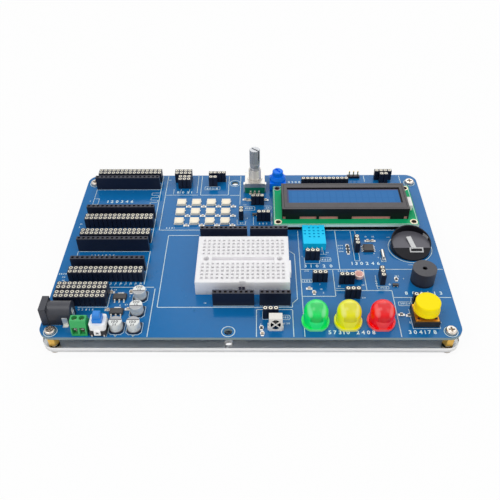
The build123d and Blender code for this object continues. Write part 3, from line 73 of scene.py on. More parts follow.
def looseObject(name, data):
    holder = bpy.data.objects.new(name, data)
    bpy.context.scene.collection.objects.link(holder)
    return holder


# camera: place in board millimetres, angles in degrees

cameraView = {
    "place": (4.805, -257.633, 228.52),
    "azimuth": 1.194,
    "elevation": 42.006,
    "roll": -0.88,
    "lens": 45.74,
    "sensor": 36.0,
    "near": 0.01,
}


def addCamera(settings):
    azimuth, elevation, roll = (math.radians(settings[label]) for label in ("azimuth", "elevation", "roll"))
    back = Vector((
        math.sin(azimuth) * math.cos(elevation),
        -math.cos(azimuth) * math.cos(elevation),
        math.sin(elevation),
    ))
    right = Vector((math.cos(azimuth), math.sin(azimuth), 0))
    up = back.cross(right)
    turnedRight = right * math.cos(roll) + up * math.sin(roll)
    turnedUp = up * math.cos(roll) - right * math.sin(roll)
    data = bpy.data.cameras.new("camera")
    data.lens = settings["lens"]
    data.sensor_width = settings["sensor"]
    data.clip_start = settings["near"]
    holder = looseObject("camera", data)
    turn = Matrix((turnedRight, turnedUp, back)).transposed().to_4x4()
    holder.matrix_world = Matrix.Translation(at(*settings["place"])) @ turn
    bpy.context.scene.camera = holder


addCamera(cameraView)


# shader nodes

def addNode(tree, kind, fields=None, values=None):
    node = tree.nodes.new("ShaderNode" + kind)
    for field, value in (fields or {}).items():
        setattr(node, field, value)
    for label, value in (values or {}).items():
        node.inputs[label].default_value = value
    return node


def joined(tree, *pairs):
    for source, target in pairs:
        tree.links.new(source, target)


def calculate(tree, operation, *terms, clamp=False):
    # one Math node: each term is a socket or a plain number
    node = addNode(tree, "Math", {"operation": operation, "use_clamp": clamp})
    for slot, term in enumerate(terms):
        if isinstance(term, (int, float)):
            node.inputs[slot].default_value = term
        else:
            tree.links.new(term, node.inputs[slot])
    return node.outputs[0]


def chain(tree, operation, first, *others):
    # the same operation over any number of terms
    for term in others:
        first = calculate(tree, operation, first, term)
    return first


def isBelow(tree, term, limit):
    return calculate(tree, "LESS_THAN", term, limit)


def isAbove(tree, term, limit):
    return calculate(tree, "GREATER_THAN", term, limit)


def blendColor(tree, factor, first, second, kind="MIX"):
    # a colour is a socket, a linear colour or, with three numbers, a screen colour
    node = addNode(tree, "Mix", {"data_type": "RGBA", "blend_type": kind})
    first, second = (linear(*term) if isinstance(term, tuple) and len(term) == 3 else term
                     for term in (first, second))
    for slot, term in ((0, factor), (6, first), (7, second)):
        if isinstance(term, (int, float, tuple)):
            node.inputs[slot].default_value = term
        else:
            tree.links.new(term, node.inputs[slot])
    return node.outputs[2]


# light and floor

white = (1, 1, 1, 1)
lamps = {
    "keyLamp": {"place": (-0.55, -0.35, 1.0), "size": 0.7, "power": 3.6},
    "fillLamp": {"place": (0.8, -0.5, 0.7), "size": 0.8, "power": 1.8},
    "backLamp": {"place": (0.15, 0.9, 0.75), "size": 0.9, "power": 2.6},
}
surround = {
    "ambient": 0.62, "seen": 1.0, "floorReach": 6.0, "floorColor": (0.88, 0.88, 0.88, 1),
    "seenShares": {"Is Camera Ray": 1.0, "Is Glossy Ray": 1.0, "Is Transmission Ray": 1.0},
    "floorShares": {"Is Camera Ray": 0.92},
}


def startMaterial(name):
    material = bpy.data.materials.new(name)
    material.use_nodes = True
    tree = material.node_tree
    return material, tree, tree.nodes["Principled BSDF"]


def addLamp(name, settings):
    data = bpy.data.lights.new(name, "AREA")
    data.shape = "DISK"
    data.size = settings["size"]
    data.energy = settings["power"]
    holder = looseObject(name, data)
    holder.location = settings["place"]
    holder.rotation_euler = (-Vector(settings["place"])).to_track_quat("-Z", "Y").to_euler()


def mixSeen(tree, plain, seen, shares, output):
    # the seen shader for each kind of ray by its share, the plain one for rays that light things
    path = addNode(tree, "LightPath")
    rays = [calculate(tree, "MULTIPLY", path.outputs[label], share) for label, share in shares.items()]
    mix = addNode(tree, "MixShader")
    joined(tree, (chain(tree, "MAXIMUM", *rays), mix.inputs[0]), (plain.outputs[0], mix.inputs[1]),
           (seen.outputs[0], mix.inputs[2]), (mix.outputs[0], output.inputs["Surface"]))


def addSurround(settings):
    world = bpy.data.worlds.new("surround")
    world.use_nodes = True
    tree = world.node_tree
    ambient = tree.nodes["Background"]
    seen = addNode(tree, "Background")
    for background, label in ((ambient, "ambient"), (seen, "seen")):
        background.inputs["Color"].default_value = white
        background.inputs["Strength"].default_value = settings[label]
    mixSeen(tree, ambient, seen, settings["seenShares"], tree.nodes["World Output"])
    bpy.context.scene.world = world


def addFloor(settings):
    reach = settings["floorReach"]
    mesh = bpy.data.meshes.new("floor")
    corners = [(-reach, -reach, 0), (reach, -reach, 0), (reach, reach, 0), (-reach, reach, 0)]
    mesh.from_pydata(corners, [], [(0, 1, 2, 3)])
    floor = looseObject("floor", mesh)
    material, tree, shader = startMaterial("paleFloor")
    shader.inputs["Base Color"].default_value = settings["floorColor"]
    shader.inputs["Roughness"].default_value = 1.0
    shader.inputs["Specular IOR Level"].default_value = 0.0
    glow = addNode(tree, "Emission", values={"Color": white})
    mixSeen(tree, shader, glow, settings["floorShares"], tree.nodes["Material Output"])
    mesh.materials.append(material)


for lampName, lampSettings in lamps.items():
    addLamp(lampName, lampSettings)
addSurround(surround)
addFloor(surround)
bpy.context.scene.view_settings.view_transform = "Standard"
print("camera, lamps and floor in place")


# shader groups

def startGroup(name, inputs, outputs):
    group = bpy.data.node_groups.new(name, "ShaderNodeTree")
    kinds = {"value": "NodeSocketFloat", "color": "NodeSocketColor", "vector": "NodeSocketVector"}
    for label, kind, value in inputs:
        socket = group.interface.new_socket(name=label, in_out="INPUT", socket_type=kinds[kind])
        socket.default_value = value
    for label, kind in outputs:
        group.interface.new_socket(name=label, in_out="OUTPUT", socket_type=kinds[kind])
    return group, group.nodes.new("NodeGroupInput"), group.nodes.new("NodeGroupOutput")


def objectNoise(tree, scale, detail, roughness=0.5):
    # noise on object coordinates; the scale is a socket or a plain number
    place = addNode(tree, "TexCoord")
    noise = addNode(tree, "TexNoise", values={"Detail": detail, "Roughness": roughness})
    joined(tree, (place.outputs["Object"], noise.inputs["Vector"]))
    if isinstance(scale, float):
        noise.inputs["Scale"].default_value = scale
    else:
        joined(tree, (scale, noise.inputs["Scale"]))
    return noise.outputs[0]


def facingParts(tree, label="True Normal"):
    # the normal as separate x, y and z sockets
    facing = addNode(tree, "NewGeometry")
    side = addNode(tree, "SeparateXYZ")
    joined(tree, (facing.outputs[label], side.inputs[0]))
    return side.outputs


noises = {
    # detail and roughness of each noise; the fine one's scale is so many times the coarse one's
    "coarse": (5.0, 0.6), "fine": (3.0, 0.7), "fineTimes": 4.0, "patches": (6.0, 0.65),
    "rubbed": (700.0, 4.0),  # scale and detail
}


def makeFineGrain():
    # small changes of tint, roughness and height at the scale of the finish
    group, given, result = startGroup(
        "fineGrain",
        [("Color", "color", (0.5, 0.5, 0.5, 1)), ("Scale", "value", 900.0), ("Tint Spread", "value", 0.1),
         ("Roughness", "value", 0.4), ("Roughness Spread", "value", 0.1)],
        [("Color", "color"), ("Roughness", "value"), ("Height", "value")],
    )
    coarse = objectNoise(group, given.outputs["Scale"], *noises["coarse"])
    fineScale = calculate(group, "MULTIPLY", given.outputs["Scale"], noises["fineTimes"])
    fine = objectNoise(group, fineScale, *noises["fine"])
    swing = calculate(group, "SUBTRACT", coarse, 0.5)
    tint = calculate(group, "MULTIPLY_ADD", swing, given.outputs["Tint Spread"], 1.0)
    color = blendColor(group, 1.0, given.outputs["Color"], tint, "MULTIPLY")
    rough = calculate(group, "MULTIPLY_ADD", swing, given.outputs["Roughness Spread"],
                      given.outputs["Roughness"], clamp=True)
    joined(group, (color, result.inputs["Color"]), (rough, result.inputs["Roughness"]),
           (fine, result.inputs["Height"]))
    return group


def makeEdgeWear():
    # rounded normals at the edges, and a mask that is 1 where an edge is rubbed
    group, given, result = startGroup(
        "edgeWear",
        [("Radius", "value", 0.00012), ("Gain", "value", 3.0)],
        [("Mask", "value"), ("Normal", "vector")],
    )
    rounding = addNode(group, "Bevel", {"samples": 4})
    flat = addNode(group, "NewGeometry")
    closeness = addNode(group, "VectorMath", {"operation": "DOT_PRODUCT"})
    joined(group, (given.outputs["Radius"], rounding.inputs["Radius"]),
           (rounding.outputs[0], closeness.inputs[0]), (flat.outputs["Normal"], closeness.inputs[1]))
    bent = calculate(group, "SUBTRACT", 1.0, closeness.outputs["Value"])
    worn = calculate(group, "MULTIPLY", bent, given.outputs["Gain"])
    worn = calculate(group, "MULTIPLY", worn, objectNoise(group, *noises["rubbed"]), clamp=True)
    joined(group, (worn, result.inputs["Mask"]), (rounding.outputs[0], result.inputs["Normal"]))
    return group


def makeSettledDust():
    # a mask that is highest on faces that look up, in uneven patches
    group, given, result = startGroup(
        "settledDust", [("Scale", "value", 260.0), ("Amount", "value", 0.1)], [("Mask", "value")],
    )
    patches = objectNoise(group, given.outputs["Scale"], *noises["patches"])
    upward = calculate(group, "MAXIMUM", facingParts(group, "Normal")[2], 0.0)
    speckle = calculate(group, "MULTIPLY", patches, given.outputs["Amount"])
    mask = calculate(group, "MULTIPLY", upward, speckle, clamp=True)
    joined(group, (mask, result.inputs["Mask"]))
    return group


groups = {"grain": makeFineGrain(), "wear": makeEdgeWear(), "dust": makeSettledDust()}


def placeGroup(tree, key, values):
    return addNode(tree, "Group", {"node_tree": groups[key]}, values)


# finishes

# least share of a normal that points up or down, or to the front, for these kinds of face
flatFace = 0.7
levelFace = 0.9
frontFace = 0.5
usualFinish = {
    "grain": 900.0, "tintSpread": 0.25, "roughnessSpread": 0.15, "edge": 0.1, "wear": 1.5, "dust": 0.06,
    "relief": 0.004, "pattern": None, "sockets": {},
}
socketNames = {
    "metallic": "Metallic", "specular": "Specular IOR Level", "clear": "Transmission Weight", "ior": "IOR",
    "gloss": "Coat Weight", "glossRoughness": "Coat Roughness",
}
dustColor = (205, 205, 205)


def makeFinish(name, settings):
    # one moulded, plated or painted finish: grain, rubbed edges, dust and, where given, a pattern of its own
    material, tree, shader = startMaterial(name)
    grain = placeGroup(tree, "grain", {
        "Color": linear(*settings["color"]), "Scale": settings["grain"],
        "Tint Spread": settings["tintSpread"], "Roughness": settings["roughness"],
        "Roughness Spread": settings["roughnessSpread"],
    })
    wear = placeGroup(tree, "wear", {"Radius": settings["edge"] * mm, "Gain": settings["wear"]})
    dust = placeGroup(tree, "dust", {"Amount": settings["dust"]})
    parts = {
        "Base Color": grain.outputs["Color"],
        "Roughness": grain.outputs["Roughness"],
        "Height": grain.outputs["Height"],
    }
    if settings["pattern"]:
        parts.update(settings["pattern"](tree, parts, settings))
    rubbed = blendColor(tree, wear.outputs["Mask"], parts["Base Color"], settings["rubbed"])
    dusty = blendColor(tree, dust.outputs["Mask"], rubbed, dustColor)
    bump = addNode(tree, "Bump", values={"Strength": 1.0, "Distance": settings["relief"] * mm})
    joined(
        tree, (parts["Height"], bump.inputs["Height"]), (wear.outputs["Normal"], bump.inputs["Normal"]),
        (bump.outputs[0], shader.inputs["Normal"]), (dusty, shader.inputs["Base Color"]),
        (parts["Roughness"], shader.inputs["Roughness"]),
    )
    plain = {label: settings[key] for key, label in socketNames.items() if key in settings}
    for label, value in {**plain, **settings["sockets"]}.items():
        shader.inputs[label].default_value = value
    return material


def upwardMask(tree, least):
    # 1 on faces that look up or down more steeply than least, 0 on sides
    return isAbove(tree, calculate(tree, "ABSOLUTE", facingParts(tree)[2]), least)


def boardParts(tree):
    # the place on the object as x, y and z sockets in board millimetres
    place = addNode(tree, "TexCoord")
    shifted = addNode(tree, "VectorMath", {"operation": "SUBTRACT"}, {1: boardOrigin})
    scaled = addNode(tree, "VectorMath", {"operation": "SCALE"}, {"Scale": 1 / mm})
    parts = addNode(tree, "SeparateXYZ")
    joined(tree, (place.outputs["Object"], shifted.inputs[0]), (shifted.outputs[0], scaled.inputs[0]),
           (scaled.outputs[0], parts.inputs[0]))
    return parts.outputs


# a finer weave and a rougher surface where a board or a plate is sawn
sawnEdge = {"weave": 3000.0, "rougher": 0.45, "acrylicRoughness": 0.42}


def boardEdge(tree, parts, settings):
    # solder mask on the faces, rougher glass-fibre laminate on the sawn edge
    face = upwardMask(tree, flatFace)
    weave = objectNoise(tree, sawnEdge["weave"], 2.0)
    laminate = blendColor(tree, weave, settings["sawnDark"], settings["sawnPale"])
    rough = calculate(tree, "ADD", parts["Roughness"], sawnEdge["rougher"])
    return {"Base Color": blendColor(tree, face, laminate, parts["Base Color"]),
            "Roughness": calculate(tree, "MULTIPLY_ADD", face, -sawnEdge["rougher"], rough)}


def frostedEdge(tree, parts, settings):
    # polished faces, fine saw marks on the edges
    edge = sawnEdge["acrylicRoughness"]
    face = upwardMask(tree, flatFace)
    return {"Roughness": calculate(tree, "MULTIPLY_ADD", face, settings["roughness"] - edge, edge)}


displayCells = {
    # count, pitch, share of the pitch that is lit, shift from the glass's middle
    "columns": (16, 3.62, 0.82, -0.3), "rows": (2, 6.0, 0.92, -0.9), "cellColor": (36, 108, 172),
    "window": {"left": 20.2, "right": 84.2, "back": 36.6},
    "rim": {"color": (80, 80, 118), "left": 0.9, "back": 1.9},
    "shade": {"color": (14, 12, 24), "right": 0.9, "back": 1.2},
}
aboveZero = 100.0  # a whole number of cells, so that the part after the point is never of a negative number


def liquidCrystal(tree, parts, settings):
    # faint character cells, a little lighter than the field, then the film's rim and the shaded edge
    low, high = boardBox("display_glass")
    x, y, z = boardParts(tree)
    window, rim, shade = settings["window"], settings["rim"], settings["shade"]
    lit = []
    middle = (low + high) / 2
    for place, start, (count, pitch, fill, shift) in ((x, middle.x, settings["columns"]),
                                                      (y, middle.y, settings["rows"])):
        step = calculate(tree, "DIVIDE", calculate(tree, "SUBTRACT", place, start + shift), pitch)
        lit.append(isBelow(tree, calculate(tree, "ABSOLUTE", step), count / 2))
        lit.append(isBelow(tree, calculate(tree, "FRACT", calculate(tree, "ADD", step, aboveZero)), fill))
    onRim = chain(tree, "MAXIMUM", isBelow(tree, x, window["left"] + rim["left"]),
                  isAbove(tree, y, window["back"] - rim["back"]))
    inShade = chain(tree, "MAXIMUM", isAbove(tree, x, window["right"] - shade["right"]),
                    isAbove(tree, y, window["back"] - shade["back"]))
    field = blendColor(tree, chain(tree, "MULTIPLY", *lit), parts["Base Color"], settings["cellColor"])
    field = blendColor(tree, onRim, field, rim["color"])
    return {"Base Color": blendColor(tree, inShade, field, shade["color"])}


def salmonFront(tree, parts, settings):
    # the tinted front face of the light guide, seen between the frame's tabs
    front = isBelow(tree, facingParts(tree)[1], -frontFace)
    inside = isBelow(tree, boardParts(tree)[0], boardBox("display_bezel")[1].x)
    tint = chain(tree, "MULTIPLY", front, inside)
    return {"Base Color": blendColor(tree, tint, parts["Base Color"], settings["tinted"])}


# traffic lamps: heights over the board and reaches from the lamp's middle, in millimetres
lensMarks = {
    "wedgeTop": 5.6, "wedgeSlope": 0.42, "wedgeFoot": 1.3, "cupHeight": 14.0, "cupReach": 3.0,
    # painted highlight: the flange edge, the dome top and two soft patches on the dome get a paler colour
    "flangeTop": 1.35, "flangeReach": 6.1, "flangeShare": 0.7,
    "domeFrom": 10.0, "domeTop": 13.5, "domeShare": 0.25,
    "shine": {"aside": 3.2, "height": 10.4, "halfWidth": 1.5, "halfHeight": 2.4, "most": 0.75},
    # share of the deep colour against height, as a part of cupHeight
    "cup": [(0.0, 0.0), (0.38, 0.0), (0.45, 0.9), (0.6, 0.8), (0.74, 0.25), (1.0, 0.0)],
}


def softSpot(tree, across, up, settings):
    # a soft patch, 0 at its border: middle and half size across and up
    ratios = []
    for term, middle, half in ((across, settings["aside"], settings["halfWidth"]),
                               (up, settings["height"], settings["halfHeight"])):
        ratio = calculate(tree, "DIVIDE", calculate(tree, "SUBTRACT", term, middle), half)
        ratios.append(calculate(tree, "POWER", calculate(tree, "ABSOLUTE", ratio), 2.0))
    inside = calculate(tree, "SUBTRACT", 1.0, calculate(tree, "ADD", *ratios), clamp=True)
    return calculate(tree, "MULTIPLY", inside, settings["most"])


def rampOf(tree, term, spots):
    # a grey ramp through (place, shade) pairs
    node = addNode(tree, "ValToRGB")
    ramp = node.color_ramp
    for spot, shade in spots:
        ramp.elements.new(spot).color = (shade, shade, shade, 1.0)
    ramp.elements.remove(ramp.elements[0])
    ramp.elements.remove(ramp.elements[-1])
    joined(tree, (term, node.inputs[0]))
    return node.outputs[0]


def lensDepth(tree, parts, settings):
    # painted highlights on the dome top, the flange edge and two soft patches on the dome, the deep cup
    # behind the lens, a paler wedge below it
    low, high = boardBox(settings["node"])
    x, y, height = boardParts(tree)
    across = calculate(tree, "SUBTRACT", x, (low.x + high.x) / 2)
    along = calculate(tree, "SUBTRACT", y, (low.y + high.y) / 2)
    aside = calculate(tree, "ABSOLUTE", across)
    near = isBelow(tree, along, 0.0)
    wedgeReach = calculate(tree, "MULTIPLY_ADD", height, settings["wedgeSlope"], settings["wedgeFoot"])
    wedge = chain(tree, "MULTIPLY", isBelow(tree, aside, wedgeReach),
                  isBelow(tree, height, settings["wedgeTop"]), near)
    reach = calculate(tree, "ADD", *(calculate(tree, "POWER", term, 2.0) for term in (aside, along)))
    flange = chain(tree, "MULTIPLY", isBelow(tree, height, settings["flangeTop"]), settings["flangeShare"],
                   isAbove(tree, reach, settings["flangeReach"] ** 2))
    dome = addNode(tree, "MapRange", values={
        "From Min": settings["domeFrom"], "From Max": settings["domeTop"],
        "To Min": 0.0, "To Max": settings["domeShare"],
    })
    joined(tree, (height, dome.inputs["Value"]))
    cup = rampOf(tree, calculate(tree, "DIVIDE", height, settings["cupHeight"]), settings["cup"])
    cup = chain(tree, "MULTIPLY", cup, near, isBelow(tree, aside, settings["cupReach"]))
    body = blendColor(tree, wedge, parts["Base Color"], settings["wedge"])
    deep = blendColor(tree, cup, body, settings["deep"])
    shine = chain(tree, "MULTIPLY", softSpot(tree, aside, height, settings["shine"]), near)
    pale = chain(tree, "MAXIMUM", flange, dome.outputs[0], shine)
    return {"Base Color": blendColor(tree, pale, deep, settings["pale"])}


def shadedSides(tree, parts, settings):
    # painted shade: sides get a darker colour than the tops
    face = upwardMask(tree, flatFace)
    return {"Base Color": blendColor(tree, face, settings["side"], parts["Base Color"])}


def holderFloorSheen(tree, parts, settings):
    # painted reflection: the flat floor of the black cell holder gets a greyer colour than its walls,
    # standing in for the sheen of the bright surround
    x, y, z = boardParts(tree)
    flat = chain(tree, "MULTIPLY", upwardMask(tree, levelFace), isBelow(tree, z, settings["floorTop"]),
                 isAbove(tree, y, settings["floorFrom"]))
    return {"Base Color": blendColor(tree, flat, parts["Base Color"], settings["floor"])}


lathe = {"pitch": 0.18, "depth": 0.4}


def turnedRings(tree, parts, settings):
    # fine lathe rings round an upright axis, counted from the table up
    overTable = calculate(tree, "ADD", boardParts(tree)[2], deck / mm)
    wave = calculate(tree, "SINE", calculate(tree, "MULTIPLY", overTable, 2 * math.pi / lathe["pitch"]))
    return {"Height": calculate(tree, "MULTIPLY_ADD", wave, lathe["depth"], parts["Height"])}


def coat(color, roughness, rubbed, **more):
    # screen colour, roughness, colour of the rubbed edges, and what differs from the usual finish
    return {**usualFinish, "color": color, "roughness": roughness, "rubbed": rubbed, **more}


def lens(node, color, rubbed, wedge, pale, deep):
    # clear-coated lamp plastic with a painted glow: a faint emission in the lens colour, though the lamp is
    # not lit
    glow = {"Emission Color": linear(*color), "Emission Strength": 0.05}
    return coat(
        color, 0.1, rubbed, wedge=wedge, pale=pale, deep=deep, node=node, dust=0.0, tintSpread=0.08,
        relief=0.001, roughnessSpread=0.05, pattern=lensDepth, clear=0.05, ior=1.45, specular=0.25,
        gloss=0.2, glossRoughness=0.02, sockets=glow, **lensMarks,
    )


finishes = {
    "blueBoard": coat((0, 105, 170), 0.16, (40, 130, 190), grain=500.0, tintSpread=0.12, roughnessSpread=0.1,
                      relief=0.003, wear=0.5, dust=0.015, sawnDark=(104, 126, 134), sawnPale=(150, 168, 172),
                      pattern=boardEdge, specular=0.2),
    "clearPlate": coat((246, 249, 249), 0.02, (250, 250, 250), wear=0.0, dust=0.0, tintSpread=0.02,
                       relief=0.001, pattern=frostedEdge, clear=1.0, ior=1.49),
    "sawnAcrylic": coat((252, 252, 252), 0.55, (252, 252, 252), wear=0.4, dust=0.0, tintSpread=0.05,
                        relief=0.01, clear=0.1, ior=1.49),
    "brass": coat((238, 190, 92), 0.3, (250, 222, 150), edge=0.2, pattern=turnedRings, metallic=0.75),
    "screwSteel": coat((205, 196, 186), 0.26, (240, 235, 228), edge=0.15, metallic=1.0),
    # side: painted shade colour for the sides of the black moulding
    "blackMoulding": coat((40, 42, 57), 0.4, (70, 70, 84), grain=1500.0, relief=0.006, side=(24, 29, 47),
                          pattern=shadedSides, specular=0.3),
    "darkMoulding": coat((26, 25, 28), 0.45, (70, 70, 74), relief=0.006),
    "goldMetal": coat((232, 192, 112), 0.25, (250, 225, 160), metallic=1.0),
    "contactMetal": coat((226, 218, 200), 0.24, (250, 246, 238), metallic=1.0),
    "sleeveMetal": coat((232, 226, 208), 0.32, (250, 246, 234), metallic=0.5),
    # bronze: the contacts' metal, darkened as painted shade for their place deep in the sockets
    "bronze": coat((120, 96, 62), 0.35, (190, 160, 112), metallic=1.0),
    "whiteMoulding": coat((252, 250, 253), 0.42, (244, 243, 247), tintSpread=0.05, relief=0.008,
                          specular=0.3, sockets={"Subsurface Weight": 0.6, "Subsurface Scale": 0.005,
                                                 "Subsurface Radius": (1.0, 1.0, 1.0)}),
    "foam": coat((226, 226, 222), 0.9, (240, 240, 236), relief=0.04),
    "greenBoard": coat((0, 172, 108), 0.4, (70, 200, 140), dust=0.02, tintSpread=0.12, specular=0.08,
                       sawnDark=(214, 250, 236), sawnPale=(238, 255, 248), pattern=boardEdge),
    # side: painted shade colour for the sides of the frame
    "blackMetal": coat((62, 58, 62), 0.45, (100, 94, 96), edge=0.25, tintSpread=0.1, side=(14, 13, 17),
                       pattern=shadedSides, specular=0.35),
    "lightGuide": coat((250, 248, 244), 0.4, (250, 248, 244), tinted=(232, 142, 142), pattern=salmonFront),
    "displayGlass": coat((30, 104, 168), 0.3, (60, 100, 165), wear=0.0, tintSpread=0.06, relief=0.0005,
                         roughnessSpread=0.04, dust=0.0, pattern=liquidCrystal, specular=0.1,
                         **displayCells),
    "lampBody": coat((240, 232, 212), 0.4, (250, 246, 236), tintSpread=0.06),
    "lampWindow": coat((250, 238, 214), 0.25, (252, 240, 220), tintSpread=0.1),
    # lens colours: body, rubbed edge, wedge, painted highlight, deep cup
    "greenLens": lens("green_traffic_lamp", (0, 240, 104), (90, 235, 140), (50, 246, 132), (150, 240, 180),
                      (0, 178, 74)),
    "yellowLens": lens("yellow_traffic_lamp", (244, 240, 0), (240, 240, 110), (250, 246, 60),
                       (244, 242, 150), (206, 200, 8)),
    "redLens": lens("red_traffic_lamp", (255, 4, 12), (250, 110, 110), (255, 72, 72), (255, 130, 130),
                    (205, 0, 20)),
    "castMetal": coat((206, 202, 196), 0.42, (235, 232, 228), relief=0.012, edge=0.2, metallic=0.9),
    "phenolic": coat((0, 116, 84), 0.45, (60, 160, 130)),
    "aluminium": coat((182, 184, 188), 0.42, (215, 216, 218), edge=0.12, pattern=turnedRings, metallic=0.6),
    "capacitorCan": coat((222, 225, 223), 0.4, (150, 152, 152), edge=0.2, metallic=0.3),
    "slotShade": coat((92, 88, 106), 0.6, (110, 106, 122), dust=0.0),
    "moonGrey": coat((172, 174, 178), 0.5, (172, 174, 178), dust=0.0),
    "markGrey": coat((66, 66, 74), 0.5, (90, 90, 98), dust=0.0),
    "hole": coat((78, 56, 44), 0.6, (110, 84, 66), dust=0.0),
    "trimmerBlue": coat((0, 120, 245), 0.4, (50, 150, 245), dust=0.0, tintSpread=0.08, specular=0.2),
    "yellowCap": coat((255, 232, 0), 0.45, (255, 240, 70), tintSpread=0.04, edge=0.25, dust=0.0,
                      specular=0.12),
    "steel": coat((204, 202, 198), 0.3, (240, 238, 236), metallic=1.0),
    "buttonPlate": coat((226, 158, 48), 0.34, (245, 205, 120), metallic=0.85),
    "shieldTin": coat((230, 227, 220), 0.5, (238, 235, 230), edge=0.2, metallic=0.05, specular=0.3),
    "contactGrey": coat((186, 187, 188), 0.4, (220, 220, 220), metallic=0.5),
    "sensorCase": coat((0, 206, 252), 0.45, (90, 214, 250), tintSpread=0.06, dust=0.0, specular=0.2),
    "sliderBlue": coat((20, 130, 220), 0.34, (80, 165, 240), tintSpread=0.06),
    "sensorCeramic": coat((240, 208, 196), 0.4, (250, 230, 222)),
    "darkResin": coat((10, 8, 12), 0.12, (40, 36, 44), gloss=0.6, glossRoughness=0.05),
    "greenMoulding": coat((44, 172, 92), 0.38, (120, 215, 155), tintSpread=0.08),
    # floor: painted reflection colour for the holder's flat floor
    "holderBlack": coat((16, 16, 24), 0.35, (70, 70, 80), edge=0.25, dust=0.02, floor=(92, 91, 99),
                        floorTop=3.4, floorFrom=-6.0, pattern=holderFloorSheen, specular=0.2, gloss=0.04,
                        glossRoughness=0.12),
    "buzzerBlack": coat((50, 50, 58), 0.5, (96, 96, 104), relief=0.02, edge=0.2),
    "socketBlack": coat((44, 46, 56), 0.42, (92, 94, 100), relief=0.012, edge=0.25),
    "chipBlack": coat((54, 52, 54), 0.55, (96, 92, 92), relief=0.02),
    "printInk": coat((224, 246, 250), 0.5, (236, 248, 251), tintSpread=0.2, relief=0.003, dust=0.0),
    "maskedCopper": coat((0, 112, 176), 0.3, (20, 130, 190), tintSpread=0.1, relief=0.002, wear=0.0,
                         dust=0.015, specular=0.25),
    "solder": coat((232, 232, 228), 0.32, (246, 246, 244), metallic=0.35),
    "leadMetal": coat((226, 225, 220), 0.3, (246, 246, 242), metallic=0.5),
    "coverWhite": coat((250, 250, 250), 0.4, (252, 252, 252), tintSpread=0.03, specular=0.3),
    "chipTan": coat((184, 166, 146), 0.5, (205, 172, 138)),
    "padGold": coat((198, 188, 162), 0.3, (252, 244, 220), metallic=0.7),
    "redTrack": coat((206, 88, 74), 0.4, (226, 130, 118)),
    # dark finish of the button rivets, also the painted shade in the sleeve bores, along the frame groove
    # and under the display
    "darkInk": coat((12, 12, 15), 0.5, (60, 60, 66), dust=0.0),
}
materials = {name: makeFinish(name, settings) for name, settings in finishes.items()}

# the nodes whose finish isn't the one named like their slot
nodeFinish = {
    "power_switch_slider": "sliderBlue", "button_plate": "buttonPlate", "infrared_shield": "shieldTin",
    "capacitor_cans": "capacitorCan", "coin_cell_holder": "holderBlack", "buzzer_case": "buzzerBlack",
    "power_socket_housing": "socketBlack", "chip_packages": "chipBlack", "contact_sleeves": "sleeveMetal",
    "power_contacts": "leadMetal", "coin_cell_contacts": "contactGrey", "humidity_sensor_case": "sensorCase",
    "spring_contacts": "bronze", "soldered_leads": "leadMetal", "power_switch_cover": "coverWhite",
}
for nodeName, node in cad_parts.items():
    first, *others = node.material_slots[0].material.name.split(".")[0].split("_")
    slotFinish = first + "".join(word.capitalize() for word in others)  # clear_plate is clearPlate
    node.material_slots[0].material = materials[nodeFinish.get(nodeName, slotFinish)]
print("finishes on", len(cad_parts), "nodes")


# shapes and growing

def finishPiece(piece, body="board"):
    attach(piece, body)


def meshFrom(name, vertices, faces, edges=()):
    mesh = bpy.data.meshes.new(name)
    mesh.from_pydata([tuple(point) for point in vertices], list(edges), faces)
    return mesh


def faceOutward(mesh):
    work = bmesh.new()
    work.from_mesh(mesh)
    bmesh.ops.recalc_face_normals(work, faces=work.faces)
    work.to_mesh(mesh)
    work.free()


def turned(name, profile, sides, closed=False):
    # a lathe body from (radius, height) pairs in millimetres, listed upwards along the outside
    vertices = []
    rings = []
    for radius, height in profile:
        count = sides if radius > 0 else 1
        rings.append(range(len(vertices), len(vertices) + count))
        for step in range(count):
            angle = 2 * math.pi * step / sides
            vertices.append((radius * math.cos(angle) * mm, radius * math.sin(angle) * mm, height * mm))
    pairs = list(zip(rings, rings[1:])) + ([(rings[-1], rings[0])] if closed else [])
    faces = []
    for low, high in pairs:
        for step in range(sides):
            corner = [low[step % len(low)], low[(step + 1) % sides % len(low)],
                      high[(step + 1) % sides % len(high)], high[step % len(high)]]
            faces.append(list(dict.fromkeys(corner)))
    return looseObject(name, meshFrom(name, vertices, [face for face in faces if len(face) > 2]))


def brick(name, length, width, low, high):
    # a box with its middle on the z axis, in millimetres
    work = bmesh.new()
    bmesh.ops.create_cube(work, size=1.0)
    bmesh.ops.scale(work, vec=(length * mm, width * mm, (high - low) * mm), verts=work.verts)
    bmesh.ops.translate(work, vec=(0, 0, (low + high) / 2 * mm), verts=work.verts)
    mesh = bpy.data.meshes.new(name)
    work.to_mesh(mesh)
    work.free()
    return looseObject(name, mesh)


def startTree(name, inputs):
    tree = bpy.data.node_groups.new(name, "GeometryNodeTree")
    tree.interface.new_socket(name="Geometry", in_out="INPUT", socket_type="NodeSocketGeometry")
    for label, kind in inputs:
        tree.interface.new_socket(name=label, in_out="INPUT", socket_type="NodeSocket" + kind)
    tree.interface.new_socket(name="Geometry", in_out="OUTPUT", socket_type="NodeSocketGeometry")
    return tree, tree.nodes.new("NodeGroupInput"), tree.nodes.new("NodeGroupOutput")


def endTree(tree, given, grown, result):
    # real geometry in the given finish
    real = tree.nodes.new("GeometryNodeRealizeInstances")
    painted = tree.nodes.new("GeometryNodeSetMaterial")
    joined(tree, (grown, real.inputs[0]), (real.outputs[0], painted.inputs[0]),
           (given.outputs["Finish"], painted.inputs["Material"]), (painted.outputs[0], result.inputs[0]))
    return tree


